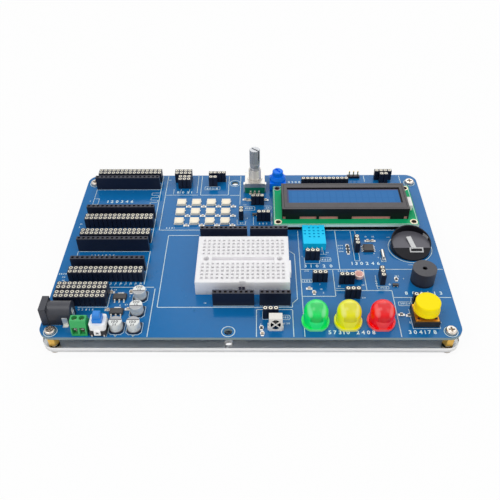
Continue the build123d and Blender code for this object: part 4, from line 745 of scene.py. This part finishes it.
def makeScatterTree():
    # a copy of the part on every point, turned and sized by the point's attributes
    tree, given, result = startTree("scatter", [("Part", "Object"), ("Finish", "Material")])
    part = tree.nodes.new("GeometryNodeObjectInfo")
    part.inputs["As Instance"].default_value = True
    copies = tree.nodes.new("GeometryNodeInstanceOnPoints")
    spin = tree.nodes.new("FunctionNodeEulerToRotation")
    fields = {}
    for label in ("turn", "size"):
        fields[label] = tree.nodes.new("GeometryNodeInputNamedAttribute")
        fields[label].data_type = "FLOAT_VECTOR"
        fields[label].inputs["Name"].default_value = label
    joined(tree, (given.outputs["Part"], part.inputs["Object"]),
           (given.outputs["Geometry"], copies.inputs["Points"]),
           (part.outputs["Geometry"], copies.inputs["Instance"]),
           (fields["turn"].outputs[0], spin.inputs[0]), (spin.outputs[0], copies.inputs["Rotation"]),
           (fields["size"].outputs[0], copies.inputs["Scale"]))
    return endTree(tree, given, copies.outputs[0], result)


def makeRibbonTree():
    # a flat printed line along every edge path, with rounded corners
    sizes = [("Width", "Float"), ("Thickness", "Float"), ("Corner", "Float"), ("Finish", "Material")]
    tree, given, result = startTree("ribbon", sizes)
    path = tree.nodes.new("GeometryNodeMeshToCurve")
    rounding = tree.nodes.new("GeometryNodeFilletCurve")
    upright = tree.nodes.new("GeometryNodeSetCurveNormal")
    section = tree.nodes.new("GeometryNodeCurvePrimitiveQuadrilateral")
    sweep = tree.nodes.new("GeometryNodeCurveToMesh")
    rounding.mode = "POLY"
    rounding.inputs["Count"].default_value = 4
    rounding.inputs["Limit Radius"].default_value = True
    upright.mode = "Z_UP"
    sweep.inputs["Fill Caps"].default_value = True
    joined(tree, (given.outputs["Geometry"], path.inputs["Mesh"]),
           (path.outputs[0], rounding.inputs["Curve"]), (given.outputs["Corner"], rounding.inputs["Radius"]),
           (rounding.outputs[0], upright.inputs[0]),
           (upright.outputs[0], sweep.inputs["Curve"]), (given.outputs["Width"], section.inputs["Width"]),
           (given.outputs["Thickness"], section.inputs["Height"]),
           (section.outputs[0], sweep.inputs["Profile Curve"]))
    return endTree(tree, given, sweep.outputs[0], result)


trees = {"scatter": makeScatterTree(), "ribbon": makeRibbonTree()}


def plainMesh(holder):
    # what an object shows, as a mesh without its curves or modifiers
    graph = bpy.context.evaluated_depsgraph_get()
    return bpy.data.meshes.new_from_object(holder.evaluated_get(graph))


def grow(name, base, tree, values):
    # runs a tree on a base mesh and keeps the plain mesh that it grows
    piece = looseObject(name, base)
    modifier = piece.modifiers.new("grow", "NODES")
    for item in tree.interface.items_tree:
        if item.in_out == "INPUT" and item.name in values:
            values[item.identifier] = values.pop(item.name)
    modifier.node_group = tree
    for identifier, value in values.items():
        modifier[identifier] = value
    piece.update_tag()
    grown = plainMesh(piece)
    piece.modifiers.clear()
    piece.data = grown
    faceOutward(grown)
    return piece


def scatter(name, part, finish, places):
    # copies of a part, dropped afterwards; a place is x, y, z in board millimetres, turn in degrees and size
    mesh = meshFrom(name, [at(*place[:3]) for place in places], [])
    turn = mesh.attributes.new("turn", "FLOAT_VECTOR", "POINT")
    size = mesh.attributes.new("size", "FLOAT_VECTOR", "POINT")
    for index, place in enumerate(places):
        spin = place[3] if len(place) > 3 else 0.0
        scale = place[4] if len(place) > 4 else 1.0
        turn.data[index].vector = (0.0, 0.0, math.radians(spin))
        size.data[index].vector = scale if isinstance(scale, tuple) else (scale, scale, scale)
    finishPiece(grow(name, mesh, trees["scatter"], {"Part": part, "Finish": materials[finish]}))
    bpy.data.objects.remove(part)


def ribbons(name, paths, finish, height, settings):
    # printed lines along paths of x, y points; a path whose ends meet is closed
    vertices = []
    edges = []
    for path in paths:
        closed = path[0] == path[-1]
        points = path[:-1] if closed else path
        start = len(vertices)
        vertices += [at(x, y, height) for x, y in points]
        edges += [(start + step, start + step + 1) for step in range(len(points) - 1)]
        if closed:
            edges.append((len(vertices) - 1, start))
    piece = grow(name, meshFrom(name, vertices, [], edges), trees["ribbon"], {
        "Width": settings["width"] * mm, "Thickness": settings.get("thickness", 0.04) * mm,
        "Corner": settings["corner"] * mm, "Finish": materials[finish],
    })
    finishPiece(piece)


def ringPath(x, y, radius, sides=40, start=0.0, sweep=360.0):
    # points on a circle, or on an arc of it, in board millimetres
    steps = sides if sweep < 360 else sides + 1
    span = math.radians(sweep) / (steps - 1)
    points = [(round(x + radius * math.cos(math.radians(start) + span * step), 4),
               round(y + radius * math.sin(math.radians(start) + span * step), 4)) for step in range(steps)]
    return points[:-1] + [points[0]] if sweep >= 360 else points


def boxPath(left, front, right, back):
    return [(left, front), (right, front), (right, back), (left, back), (left, front)]


def islands(nodeName):
    # the box of each separate lump of a node, in board millimetres
    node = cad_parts[nodeName]
    work = bmesh.new()
    work.from_mesh(node.data)
    work.transform(node.matrix_world)
    bmesh.ops.remove_doubles(work, verts=work.verts, dist=0.0001 * mm)
    work.verts.index_update()
    seen = set()
    boxes = []
    for first in work.verts:
        if first.index in seen:
            continue
        seen.add(first.index)
        queue = [first]
        for vertex in queue:
            for edge in vertex.link_edges:
                other = edge.other_vert(vertex)
                if other.index not in seen:
                    seen.add(other.index)
                    queue.append(other)
        corners = []
        for pick in (min, max):
            corner = Vector([pick(vertex.co[axis] for vertex in queue) for axis in range(3)])
            corners.append((corner - boardOrigin) / mm)
        boxes.append(corners)
    work.free()
    return boxes


def middles(boxes, height=None):
    # x, y and top, or the given height, of each box
    return [((low.x + high.x) / 2, (low.y + high.y) / 2, high.z if height is None else height)
            for low, high in boxes]


def finishMesh(name, mesh, finish):
    # a printed or flat piece made straight from its mesh
    mesh.materials.append(materials[finish])
    faceOutward(mesh)
    finishPiece(looseObject(name, mesh))


def band(inner, outer, low, high):
    # the section of a flat ring or tube, for turned
    return [(inner, low), (outer, low), (outer, high), (inner, high)]


def scatterTurned(name, profile, sides, finish, places):
    # a section that starts on the axis is a solid body, any other a ring
    part = turned("part", profile, sides, closed=profile[0][0] > 0)
    scatter(name, part, finish, places)


def scatterBrick(name, block, finish, places):
    scatter(name, brick("part", *block), finish, places)


def fourCorners(x, y, halfLength, halfWidth, z):
    return [(x + sideX * halfLength, y + sideY * halfWidth, z) for sideX in (-1, 1) for sideY in (-1, 1)]


print("helpers ready")


# printed lines

lineLift = 0.012  # middle of a printed line over the board's face
partLift = 0.01  # the same over the face of a part
printedLine = {"width": 0.42, "corner": 0.5}
fineLine = {"width": 0.3, "corner": 0.3}
dividers = [
    [(-51.4, 64.2), (-51.4, 12.7), (-28.6, 12.7)],
    [(-32.7, 46.9), (-32.7, 64.2)],
    [(-30.5, 64.2), (-30.5, 44.9), (-13.9, 44.9), (-13.9, 64.2)],
    [(-51.0, 45.0), (-32.0, 45.0)],
    [(-13.0, 44.6), (-7.2, 44.6)],
    [(-6.8, 35.8), (-6.8, 64.2)],
    [(-28.9, 8.1), (-45.6, 8.1), (-45.6, -45.8), (20.7, -45.8), (20.9, -43.0), (23.4, -40.3), (23.2, -7.5),
     (20.6, -4.8)],
    [(-48.1, -33.0), (-48.1, -64.5)],
    [(-72.0, -32.0), (-48.7, -32.0)],
    [(-84.6, -45.7), (-70.0, -45.7), (-70.0, -33.0)],
    [(-67.2, -56.0), (-67.2, -64.5)],
    [(25.8, 11.9), (25.8, -64.5)],
    [(41.4, 12.3), (79.2, 12.3)],
    [(46.3, 11.9), (46.3, -18.8)],
    [(25.8, -19.1), (99.3, -19.1)],
    [(42.5, -19.6), (42.5, -38.4), (26.0, -38.4)],
    [(42.9, -34.4), (70.8, -34.4), (70.8, -64.5)],
    [(58.4, -19.6), (58.4, -34.0)],
    [(70.9, -39.2), (99.3, -39.2)],
    [(3.15, -64.5), (3.15, -47.3), (20.65, -47.3), (20.65, -64.5)],
    [(68.5, 57.7), (68.5, 64.2)],
    [(90.1, 55.9), (90.1, 64.2)],
    [(-54.6, 64.2), (-54.6, 2.0)],
    [(-54.1, -4.7), (-54.1, -30.0)],
]
outlines = [
    [(-93.2, 51.0), (-93.2, 36.2), (-90.2, 36.2), (-90.2, 41.6), (-93.0, 41.6)],
    [(-54.8, 47.2), (-59.5, 47.2), (-59.5, 44.9), (-55.4, 44.9), (-55.4, 42.6), (-59.5, 42.6),
     (-59.5, 40.2), (-55.4, 40.2), (-55.4, 38.0), (-59.5, 38.0), (-59.5, 35.9)],
    [(-92.9, -4.8), (-92.9, -8.2)],
    [(-46.7, 51.0), (-46.7, 45.8)],
    [(-42.3, 50.6), (-42.9, 46.2)],
    [(-37.2, 50.6), (-37.6, 46.2)],
    boxPath(-28.2, 50.2, -19.2, 53.2),
    [(-18.2, 60.8), (-15.6, 60.8), (-15.6, 57.6)],
    [(28.3, -10.0), (28.3, -14.6), (36.2, -14.6), (36.2, -10.0)],
    boxPath(36.9, -12.9, 42.3, -10.2),
    [(38.7, -1.4), (38.7, -7.2)],
    [(37.0, -7.4), (40.6, -7.4)],
    boxPath(26.3, -28.6, 31.4, -26.4),
    [(43.2, -33.0), (47.4, -33.0)],
    [(63.9, -23.6), (63.9, -33.4), (69.6, -33.4), (69.6, -31.4), (64.2, -31.4)],
    [(54.8, 11.9), (54.8, -12.6), (57.5, -12.6), (57.5, -6.6)],
    [(57.3, 11.9), (57.3, 9.2)],
    [(68.7, -10.4), (68.7, -13.3), (71.1, -13.3), (71.1, -4.8), (68.7, -4.8)],
    boxPath(72.7, -44.7, 79.0, -42.2),
    [(79.0, -42.2), (79.4, -39.6)],
    [(77.0, -47.0), (77.0, -59.4), (89.8, -59.4), (89.8, -57.0)],
    [(71.4, -51.4), (74.6, -51.4), (73.0, -49.3), (71.4, -51.4)],
    [(15.4, -51.0), (19.0, -51.0), (19.4, -52.4), (19.0, -53.7), (15.4, -53.7)],
    [(6.1, -48.6), (6.1, -53.6), (9.0, -53.6)],
    boxPath(-4.9, 30.4, 1.9, 33.8),
    [(7.4, 31.2), (11.4, 31.2), (11.4, 34.2), (7.4, 34.2)],
    [(-8.0, 22.0), (-8.0, 17.6), (-3.2, 17.6), (-3.2, 20.4)],
    [(1.2, 24.0), (1.2, 17.0)],
    [(11.6, 27.4), (11.6, 17.8)],
    [(82.2, -15.7), (84.6, -15.7)],
    [(74.2, 6.3), (76.0, 6.3)],
    [(-99.0, -57.2), (-90.2, -57.2)],
    [(-4.9, 35.4), (-2.9, 35.4)],
]
canOutline = {"half": 3.7, "corner": 2.3, "leftEnd": 1.4, "backEnd": 1.2}
for x, y, top in middles(islands("capacitor_bases")):
    half, corner = canOutline["half"], canOutline["corner"]
    outlines.append([
        (x - half, y + canOutline["leftEnd"]), (x - half, y - corner), (x - corner, y - half),
        (x + corner, y - half), (x + half, y - corner), (x + half, y + half),
        (x + canOutline["backEnd"], y + half),
    ])
screwPlaces = [place[:2] for place in middles(islands("top_screws"))]
middleHoles = [(-10.15, 56.6), (-10.15, -61.3)]
ringSizes = {"screw": 3.15, "middleHole": 3.1, "coinCell": 11.5, "coinCellPlace": (85.4, -2.5)}
rings = [ringPath(*place, ringSizes["screw"]) for place in screwPlaces]
rings += [ringPath(*place, ringSizes["middleHole"]) for place in middleHoles]
rings.append(ringPath(*ringSizes["coinCellPlace"], ringSizes["coinCell"], 64))
stripGap = {"end": 0.2, "side": 0.28}
stripRows = islands("socket_strips")
stripLines = []
for side in (0, 1):
    for low, high in stripRows:
        y = high.y + stripGap["side"] if side else low.y - stripGap["side"]
        stripLines.append([(low.x + stripGap["end"], y), (high.x - stripGap["end"], y)])
ribbons("printed_dividers", dividers, "printInk", lineLift, printedLine)
ribbons("printed_outlines", outlines, "printInk", lineLift, fineLine)
ribbons("printed_rings", rings, "printInk", lineLift, printedLine)
ribbons("printed_strip_lines", stripLines, "printInk", lineLift, fineLine)
print("printed lines done")


# printed numbers

glyph = {"resolution": 3, "thickness": 0.03, "spacing": 0.28, "bold": 0.022, "blank": 0.5}


def makeDigits(settings):
    # the ten digits as plain meshes, one unit high, standing at x = 0
    digits = {}
    for digit in "0123456789":
        curve = bpy.data.curves.new("digit", "FONT")
        curve.body = digit
        curve.resolution_u = settings["resolution"]
        curve.offset = settings["bold"]
        holder = looseObject("digit", curve)
        mesh = plainMesh(holder)
        bpy.data.objects.remove(holder)
        left = min(vertex.co.x for vertex in mesh.vertices)
        low = min(vertex.co.y for vertex in mesh.vertices)
        tall = max(vertex.co.y for vertex in mesh.vertices) - low
        points = [((vertex.co.x - left) / tall, (vertex.co.y - low) / tall) for vertex in mesh.vertices]
        faces = [tuple(face.vertices) for face in mesh.polygons]
        digits[digit] = (points, faces, max(x for x, y in points))
    return digits


digitShapes = makeDigits(glyph)


def numbers(name, labels, z, finish, settings):
    # each label is its digits, middle x, lower y, height and, where given, the space between digits and turn
    vertices = []
    faces = []
    for text, x, y, tall, *rest in labels:
        space = rest[0] if rest else settings["spacing"]
        turn = math.radians(rest[1]) if len(rest) > 1 else 0.0
        widths = [digitShapes[digit][2] if digit != " " else settings["blank"] for digit in text]
        pen = -(sum(widths) + space * (len(text) - 1)) / 2
        for digit, width in zip(text, widths):
            if digit != " ":
                points, shapes = digitShapes[digit][:2]
                start = len(vertices)
                for side in (0.0, settings["thickness"]):
                    for px, py in points:
                        across, along = (pen + px) * tall, py * tall
                        vertices.append(at(x + across * math.cos(turn) - along * math.sin(turn),
                                           y + across * math.sin(turn) + along * math.cos(turn), z + side))
                upper = len(points)
                faces += [tuple(start + index for index in reversed(shape)) for shape in shapes]
                faces += [tuple(start + upper + index for index in shape) for shape in shapes]
                faces += wallFaces(shapes, start, upper)
            pen += width + space
    finishMesh(name, meshFrom(name, vertices, faces), finish)


def wallFaces(shapes, start, upper):
    # side walls along the open edges of a flat outline
    count = {}
    for shape in shapes:
        for first, second in zip(shape, shape[1:] + shape[:1]):
            key = (min(first, second), max(first, second))
            count[key] = None if key in count else (first, second)
    return [(start + first, start + second, start + upper + second, start + upper + first)
            for first, second in filter(None, count.values())]


fieldNumbers = [
    ("120346", -77.3, 37.6, 2.4, 0.6), ("2481", -45.4, 13.9, 1.2, 0.6), ("31020", 35.3, -17.6, 2.2, 1.0),
    ("130246", 60.2, -15.7, 2.3, 0.6), ("804213", 86.2, -37.3, 2.2, 1.0),
    ("57310 2408", 47.9, -62.9, 2.3, 0.42), ("304178", 81.0, -62.7, 2.3, 0.45),
    ("02815", -80.4, -47.9, 1.2, 0.9), ("1354026", -79.0, -8.9, 1.4, 0.8),
    ("8031", -40.2, 46.6, 2.1, 0.75), ("60218", -23.8, 50.6, 1.7, 0.3), ("4030", -97.4, -22.8, 1.1, 0.4),
    ("26", -96.3, -25.1, 1.0), ("18", -96.0, -27.6, 1.0), ("7", -95.2, 38.6, 1.1),
    ("15", -96.2, 17.6, 1.1), ("3", -96.6, 14.9, 1.1), ("12", -50.0, 59.6, 1.1),
    ("4021", 39.6, -12.3, 1.3, 0.4), ("305", 28.8, -28.2, 1.3, 0.4), ("62", 40.8, -6.5, 0.9),
    ("1", 27.2, -9.7, 0.9), ("204", 48.2, -0.9, 1.0, 0.35), ("205", 48.2, -3.3, 1.0, 0.35),
    ("206", 48.2, -5.7, 1.0, 0.35), ("31", 62.8, 6.3, 1.0), ("32", 66.7, 6.3, 1.0),
    ("8", 65.6, -7.4, 0.9), ("2", 67.4, -10.4, 0.9), ("104", 28.9, -20.8, 1.0, 0.35),
    ("30512", 47.6, -20.8, 1.0, 0.6), ("61", 44.8, -31.9, 1.1), ("40", 56.8, -31.0, 0.9),
    ("7", 35.2, -30.4, 0.8), ("18", 35.6, -33.9, 0.9), ("5", 36.6, -36.4, 0.9),
    ("350", 64.4, -29.4, 1.1, 0.9, 90.0), ("4012", 67.0, -32.9, 1.1, 0.3), ("108", 75.0, -24.4, 1.0),
    ("3", 78.0, -26.4, 0.9), ("6", 70.4, -30.8, 1.5), ("210", 56.2, -39.8, 0.9),
    ("30124", 75.9, -43.9, 1.2, 0.3), ("0", 76.2, -56.2, 1.2), ("41", 90.4, -56.0, 0.9),
    ("102", 17.3, -52.9, 1.2, 0.3), ("20", 18.2, -56.7, 1.0), ("1", 16.6, -56.7, 1.0),
    ("5", 5.2, -57.4, 1.0), ("6", 5.6, -62.0, 1.0), ("4103", -1.6, 31.4, 1.5, 0.3),
    ("26", 9.4, 32.0, 1.3), ("13", -2.6, 22.6, 0.9), ("20", -5.6, 18.2, 1.2),
    ("503", 6.6, 17.6, 1.3, 0.9), ("0308", 25.7, 56.8, 1.9, 0.5), ("14", -22.2, -43.4, 0.9),
    ("2", -64.0, -36.4, 0.9), ("33", -68.0, -34.2, 0.9), ("1", -60.0, -38.8, 1.0),
    ("47", -61.0, -44.6, 1.0), ("12", -52.8, -34.0, 1.0), ("9", -64.0, -45.0, 0.9),
]
wayPitch = 2.54
wayNumbers = {"size": 0.95, "stripGap": 0.75, "breakoutGap": 1.7, "breakouts": 4, "from": 5, "to": 15}


def numberWays(low, y, ways, shift):
    # small numbers along a socket, in line with its ways
    for way in ways:
        fieldNumbers.append((str(way + shift), low.x + (way + 0.5) * wayPitch, y, wayNumbers["size"]))


for low, high in stripRows:
    numberWays(low, high.y + wayNumbers["stripGap"], range(round((high.x - low.x) / wayPitch)), 1)
for low, high in islands("breakout_sockets")[:wayNumbers["breakouts"]]:
    numberWays(low, low.y - wayNumbers["breakoutGap"], range(wayNumbers["from"], wayNumbers["to"]), 0)
numbers("printed_numbers", fieldNumbers, 0.0, "printInk", glyph)
tickRow = {"x": -71.3, "y": -29.4, "count": 7, "turn": 78.0, "block": (2.4, 0.22, 0.0, 0.03)}
ticks = [(tickRow["x"] + wayPitch * step, tickRow["y"], 0.0, tickRow["turn"])
         for step in range(tickRow["count"])]
scatterBrick("printed_ticks", tickRow["block"], "printInk", ticks)
print("printed numbers done")


# clear plate, with sawn edges of its own finish

def addPlate(settings):
    low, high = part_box("base_plate")
    curve = bpy.data.curves.new("plate", "CURVE")
    curve.dimensions = "2D"
    curve.fill_mode = "BOTH"
    curve.extrude = (high.z - low.z) / 2
    halfLength = (high.x - low.x) / 2 / mm
    halfWidth = (high.y - low.y) / 2 / mm
    corner = settings["corner"]
    outline = []
    for middleX, middleY, start in (
        (halfLength - corner, halfWidth - corner, 0), (corner - halfLength, halfWidth - corner, 90),
        (corner - halfLength, corner - halfWidth, 180), (halfLength - corner, corner - halfWidth, 270),
    ):
        outline += ringPath(middleX, middleY, corner, settings["cornerSteps"], start, 90.0)
    holes = [(place, settings["screwHole"]) for place in screwPlaces]
    holes += [(place, settings["middleHole"]) for place in middleHoles]
    rounds = [ringPath(*place, width / 2, settings["holeSides"])[:-1] for place, width in holes]
    for path in [outline] + rounds:
        spline = curve.splines.new("POLY")
        spline.points.add(len(path) - 1)
        spline.use_cyclic_u = True
        for point, (x, y) in zip(spline.points, path):
            point.co = (x * mm, y * mm, 0.0, 1.0)
    holder = looseObject("plate", curve)
    mesh = plainMesh(holder)
    bpy.data.objects.remove(holder)
    mesh.transform(Matrix.Translation((boardMiddle.x, boardMiddle.y, (low.z + high.z) / 2)))
    mesh.materials.clear()
    mesh.materials.append(materials["clearPlate"])
    mesh.materials.append(materials["sawnAcrylic"])
    work = bmesh.new()
    work.from_mesh(mesh)
    bmesh.ops.remove_doubles(work, verts=work.verts, dist=0.002 * mm)
    bmesh.ops.recalc_face_normals(work, faces=work.faces)
    for face in work.faces:
        face.material_index = 0 if abs(face.normal.z) > flatFace else 1  # clear faces, sawn edges
    work.to_mesh(mesh)
    work.free()
    piece = looseObject("clear_base", mesh)
    finishPiece(piece)
    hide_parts("base_plate")


plateCut = {"corner": 6.5, "cornerSteps": 9, "screwHole": 3.2, "middleHole": 4.0, "holeSides": 33}
addPlate(plateCut)
print("clear base done")


# solder, pads and painted shade in the sleeve bores

sleeveBoreShade = [(0, -0.4), (0.405, -0.4), (0.405, -0.06), (0.52, 0.004), (0, 0.004)]
lowerJoint = [(0, -1.35), (0.26, -1.3), (0.32, -0.8), (0.5, -0.35), (0.95, -0.02), (0.95, 0.01), (0, 0.01)]
upperJoint = [(0, 0.0), (0.85, 0.0), (0.8, 0.05), (0.5, 0.3), (0.38, 0.75), (0, 0.75)]
padDrop = 0.03
leafWidth = 1.0  # the sockets' leaf springs are narrower, the breadboard's clips wider
sleeves = islands("contact_sleeves")
sleeveTops = middles(sleeves)
pinBoxes = islands("header_pins")
leafBoxes = [box for box in islands("spring_contacts") if box[1].y - box[0].y < leafWidth]
jointPlaces = middles(sleeves + pinBoxes + leafBoxes, -boardThickness)
padPlaces = [(x, y, z - padDrop) for x, y, z in jointPlaces]
# painted shade: dark discs just inside the sleeves' bores
scatterTurned("sleeve_bores", sleeveBoreShade, 12, "darkInk", sleeveTops)
scatterTurned("lower_solder_joints", lowerJoint, 10, "solder", jointPlaces)
scatterTurned("lower_pads", band(0.95, 1.12, 0.0, 0.035), 16, "padGold", padPlaces)

displayTop = boardBox("display_board")[1].z
encoderLow, encoderHigh = boardBox("encoder_base")
encoderX = (encoderLow.x + encoderHigh.x) / 2
encoderLegs = {
    "gap": 0.25, "front": {"steps": (-2.5, 0, 2.5), "size": (1.25, 1.25, 2.2)},
    "back": {"steps": (-2.5, 2.5), "size": (1.2, 1.2, 1.6)},
}
displayBack = 50  # pins further back are in the free headers
displayJoints = [(x, y, displayTop) for x, y, top in middles(pinBoxes)
                 if top > displayTop and y < displayBack]
encoderJoints = []
for row, y in ((encoderLegs["front"], encoderLow.y - encoderLegs["gap"]),
               (encoderLegs["back"], encoderHigh.y + encoderLegs["gap"])):
    encoderJoints += [(encoderX + step, y, 0.0, 0.0, row["size"]) for step in row["steps"]]
scatterTurned("display_solder_joints", upperJoint, 12, "solder", displayJoints)
scatterTurned("encoder_solder_joints", upperJoint, 12, "padGold", encoderJoints)

displayMiddle = (52.52, 30.25)
displayHoles = fourCorners(*displayMiddle, 75.0 / 2, 31.0 / 2, displayTop)
cornerPad = band(1.42, 2.15, 0.0, 0.05)
holePlating = band(1.3, 1.395, -1.55, 0.05)
scatterTurned("display_corner_pads", cornerPad, 32, "padGold", displayHoles)
scatterTurned("display_hole_plating", holePlating, 32, "hole", displayHoles)
middleHolePlaces = [(x, y, 0.0) for x, y in middleHoles]
scatterTurned("middle_hole_pads", band(2.05, 2.6, 0.0, 0.02), 32, "maskedCopper", middleHolePlaces)

chipFoot = {"block": (1.2, 1.5, 0.0, 0.22), "reach": 1.15, "size": (0.75, 0.95, 1.0)}
chipCover = {"block": (1.16, 1.28, 0.03, 0.61), "near": 0.6}
# chips near these places stay as their node is; every other one gets a tan body
plainChips = [(51.9, -1.1), (51.9, -3.65), (51.9, -6.2), (74.2, -26.4), (76.5, -51.3), (72.9, -50.8),
                  (5.5, -59.1)]
chipPads = []
chipCovers = []
for low, high in islands("small_chips"):
    x, y = (low.x + high.x) / 2, (low.y + high.y) / 2
    upright = high.y - low.y > high.x - low.x
    turn = 90.0 if upright else 0.0
    for side in (-chipFoot["reach"], chipFoot["reach"]):
        foot = (x, y + side) if upright else (x + side, y)
        chipPads.append((*foot, 0.0, turn, chipFoot["size"]))
    if min(math.hypot(x - spotX, y - spotY) for spotX, spotY in plainChips) > chipCover["near"]:
        chipCovers.append((x, y, 0.0, turn))
scatterBrick("chip_solder", chipFoot["block"], "solder", chipPads)
scatterBrick("ceramic_capacitors", chipCover["block"], "chipTan", chipCovers)

viaField = {"count": 150, "length": 190, "width": 122, "seed": 7}
sequence = {"factor": 1103515245, "step": 12345, "span": 2 ** 31}  # plain numbers, the same on every run
viaPlaces = []
state = viaField["seed"]
for via in range(viaField["count"]):
    spot = []
    for reach in (viaField["length"], viaField["width"]):
        state = (state * sequence["factor"] + sequence["step"]) % sequence["span"]
        spot.append(round(state / sequence["span"] * reach - reach / 2, 2))
    viaPlaces.append((*spot, 0.0))
scatterTurned("small_vias", band(0.3, 0.55, 0.0, 0.03), 12, "maskedCopper", viaPlaces)
print("solder and pads done")


# display: border line, painted shade along the frame groove, painted shadow sheet on the board under it

displayLines = {
    "border": (13.1, 12.8, 91.9, 47.7), "borderLine": {"width": 0.35, "corner": 0.6},
    "groove": {"left": 1.2, "front": 1.3, "right": 68.8, "back": 1.2, "sunk": 0.012},
    "grooveLine": {"width": 0.3, "corner": 0.8, "thickness": 0.03}, "sheet": (78.0, 34.8, 0.0, 0.05),
}
bezelLow, bezelHigh = boardBox("display_bezel")
ribbons("display_border", [boxPath(*displayLines["border"])], "printInk", displayTop + partLift,
        displayLines["borderLine"])
# painted shade: a dark line along the groove in the frame's top
groove = displayLines["groove"]
groovePath = boxPath(bezelLow.x + groove["left"], bezelLow.y + groove["front"],
                     bezelLow.x + groove["right"], bezelHigh.y - groove["back"])
ribbons("frame_groove", [groovePath], "darkInk", bezelHigh.z - groove["sunk"], displayLines["grooveLine"])
# painted shadow: a dark sheet on the board under the display, where the gap beneath it is in shade
scatterBrick("display_underlay", displayLines["sheet"], "darkInk", [(*displayMiddle, 0.0)])
print("display lines done")


# capacitor marks: a dark segment with its line and two numbers on each can

canMark = {
    "radius": 3.0, "start": -165, "step": 12.5, "points": 13, "thickness": 0.02, "frontRow": -55,
    "line": {"width": 0.4, "corner": 0.1}, "lineLift": 0.022,
    "numberShift": 1.1, "numbers": (("100", -0.2, 1.55, 0.2), ("25", -1.9, 1.25, 0.25)),
}
canTops = middles(islands("capacitor_cans"))
segment = []
for step in range(canMark["points"]):
    angle = math.radians(canMark["start"] + canMark["step"] * step)
    segment.append((canMark["radius"] * math.cos(angle), canMark["radius"] * math.sin(angle)))
moons = []
moonFaces = []
moonLines = []
canNumbers = []
for x, y, top in canTops:
    side = 1 if y > canMark["frontRow"] else -1  # the front row is turned round
    shape = [(x + px, y + side * py) for px, py in segment]
    moonLines.append([shape[0], shape[-1]])
    start = len(moons)
    count = len(shape)
    for lift in (0.0, canMark["thickness"]):
        moons += [at(px, py, top + lift) for px, py in shape]
    moonFaces += [tuple(range(start, start + count)), tuple(range(start + count, start + 2 * count))]
    for step in range(count):
        this, after = start + step, start + (step + 1) % count
        moonFaces.append((this, after, after + count, this + count))
    canNumbers += [(label, x, y + side * canMark["numberShift"] + rise, tall, space)
                   for label, rise, tall, space in canMark["numbers"]]
canTop = canTops[0][2]
finishMesh("capacitor_marks", meshFrom("capacitor_marks", moons, moonFaces), "moonGrey")
ribbons("capacitor_lines", moonLines, "markGrey", canTop + canMark["lineLift"], canMark["line"])
numbers("capacitor_numbers", canNumbers, canTop, "markGrey", glyph)
plusMark = {"places": (-63.1, -54.7), "y": -63.7, "half": 0.7, "line": {"width": 0.45, "corner": 0.1}}
plusY, plusHalf = plusMark["y"], plusMark["half"]
plusSigns = [[(x - plusHalf, plusY), (x + plusHalf, plusY)] for x in plusMark["places"]]
plusSigns += [[(x, plusY - plusHalf), (x, plusY + plusHalf)] for x in plusMark["places"]]
ribbons("printed_plus_signs", plusSigns, "printInk", lineLift, plusMark["line"])


# button rivets, sensor track, encoder thread, painted shade in the breadboard slot

rivet = [(0, 0), (0.62, 0), (0.55, 0.12), (0.3, 0.2), (0, 0.22)]
rivetReach = 4.1
collarDrop = 0.3
plateLow, plateHigh = boardBox("button_plate")
buttonMiddle = ((plateLow.x + plateHigh.x) / 2, (plateLow.y + plateHigh.y) / 2)
rivetPlaces = fourCorners(*buttonMiddle, rivetReach, rivetReach, plateHigh.z)
collarPlaces = fourCorners(*buttonMiddle, rivetReach, rivetReach, plateHigh.z - collarDrop)
scatterTurned("button_rivets", rivet, 16, "darkInk", rivetPlaces)
scatterTurned("button_collars", band(0.72, 1.1, 0.0, 0.1), 20, "buttonPlate", collarPlaces)

sensorTrack = {
    "middle": (55.0, -26.2), "rows": 7, "pitch": 0.5, "radius": 2.1, "inset": 0.45,
    "line": {"width": 0.24, "corner": 0.2},
}


def sensorRows(settings):
    # one line that goes to and fro inside a circle
    middleX, middleY = settings["middle"]
    path = []
    for row in range(settings["rows"]):
        rise = (row - (settings["rows"] - 1) / 2) * settings["pitch"]
        half = math.sqrt(settings["radius"] ** 2 - rise ** 2) - settings["inset"]
        ends = [(middleX - half, middleY + rise), (middleX + half, middleY + rise)]
        path += ends if row % 2 == 0 else ends[::-1]
    return path


sensorTop = boardBox("light_sensor")[1].z
ribbons("sensor_track", [sensorRows(sensorTrack)], "redTrack", sensorTop + partLift, sensorTrack["line"])

threadCut = {
    "bore": 3.44, "low": 7.6, "high": 13.8, "turns": 8, "pitch": 0.75, "sides": 40, "y": 52.4,
    "tooth": ((3.5, 0.1), (3.66, 0.3), (3.66, 0.5), (3.5, 0.75)),  # radius, height over the turn's foot
}


def addThread(settings):
    profile = [(settings["bore"], settings["low"])]
    for turn in range(settings["turns"]):
        foot = settings["low"] + turn * settings["pitch"]
        profile += [(radius, foot + rise) for radius, rise in settings["tooth"]]
    profile.append((settings["bore"], settings["high"]))
    thread = turned("encoder_thread", profile, settings["sides"], closed=True)
    thread.data.transform(Matrix.Translation(at(encoderX, settings["y"], 0.0)))
    thread.data.materials.append(materials["castMetal"])
    finishPiece(thread)


addThread(threadCut)
# painted shade: a dark patch on the front face where the breadboard's slot is
slotMark = {"block": (1.45, 0.04, 0.0, 2.6), "lobes": (-4.95, -3.3), "height": 2.9}
breadboardFront = boardBox("breadboard")[0].y
slotPlaces = [(x, breadboardFront, slotMark["height"]) for x in slotMark["lobes"]]
scatterBrick("breadboard_slot", slotMark["block"], "slotShade", slotPlaces)
print("marks and small metal done")
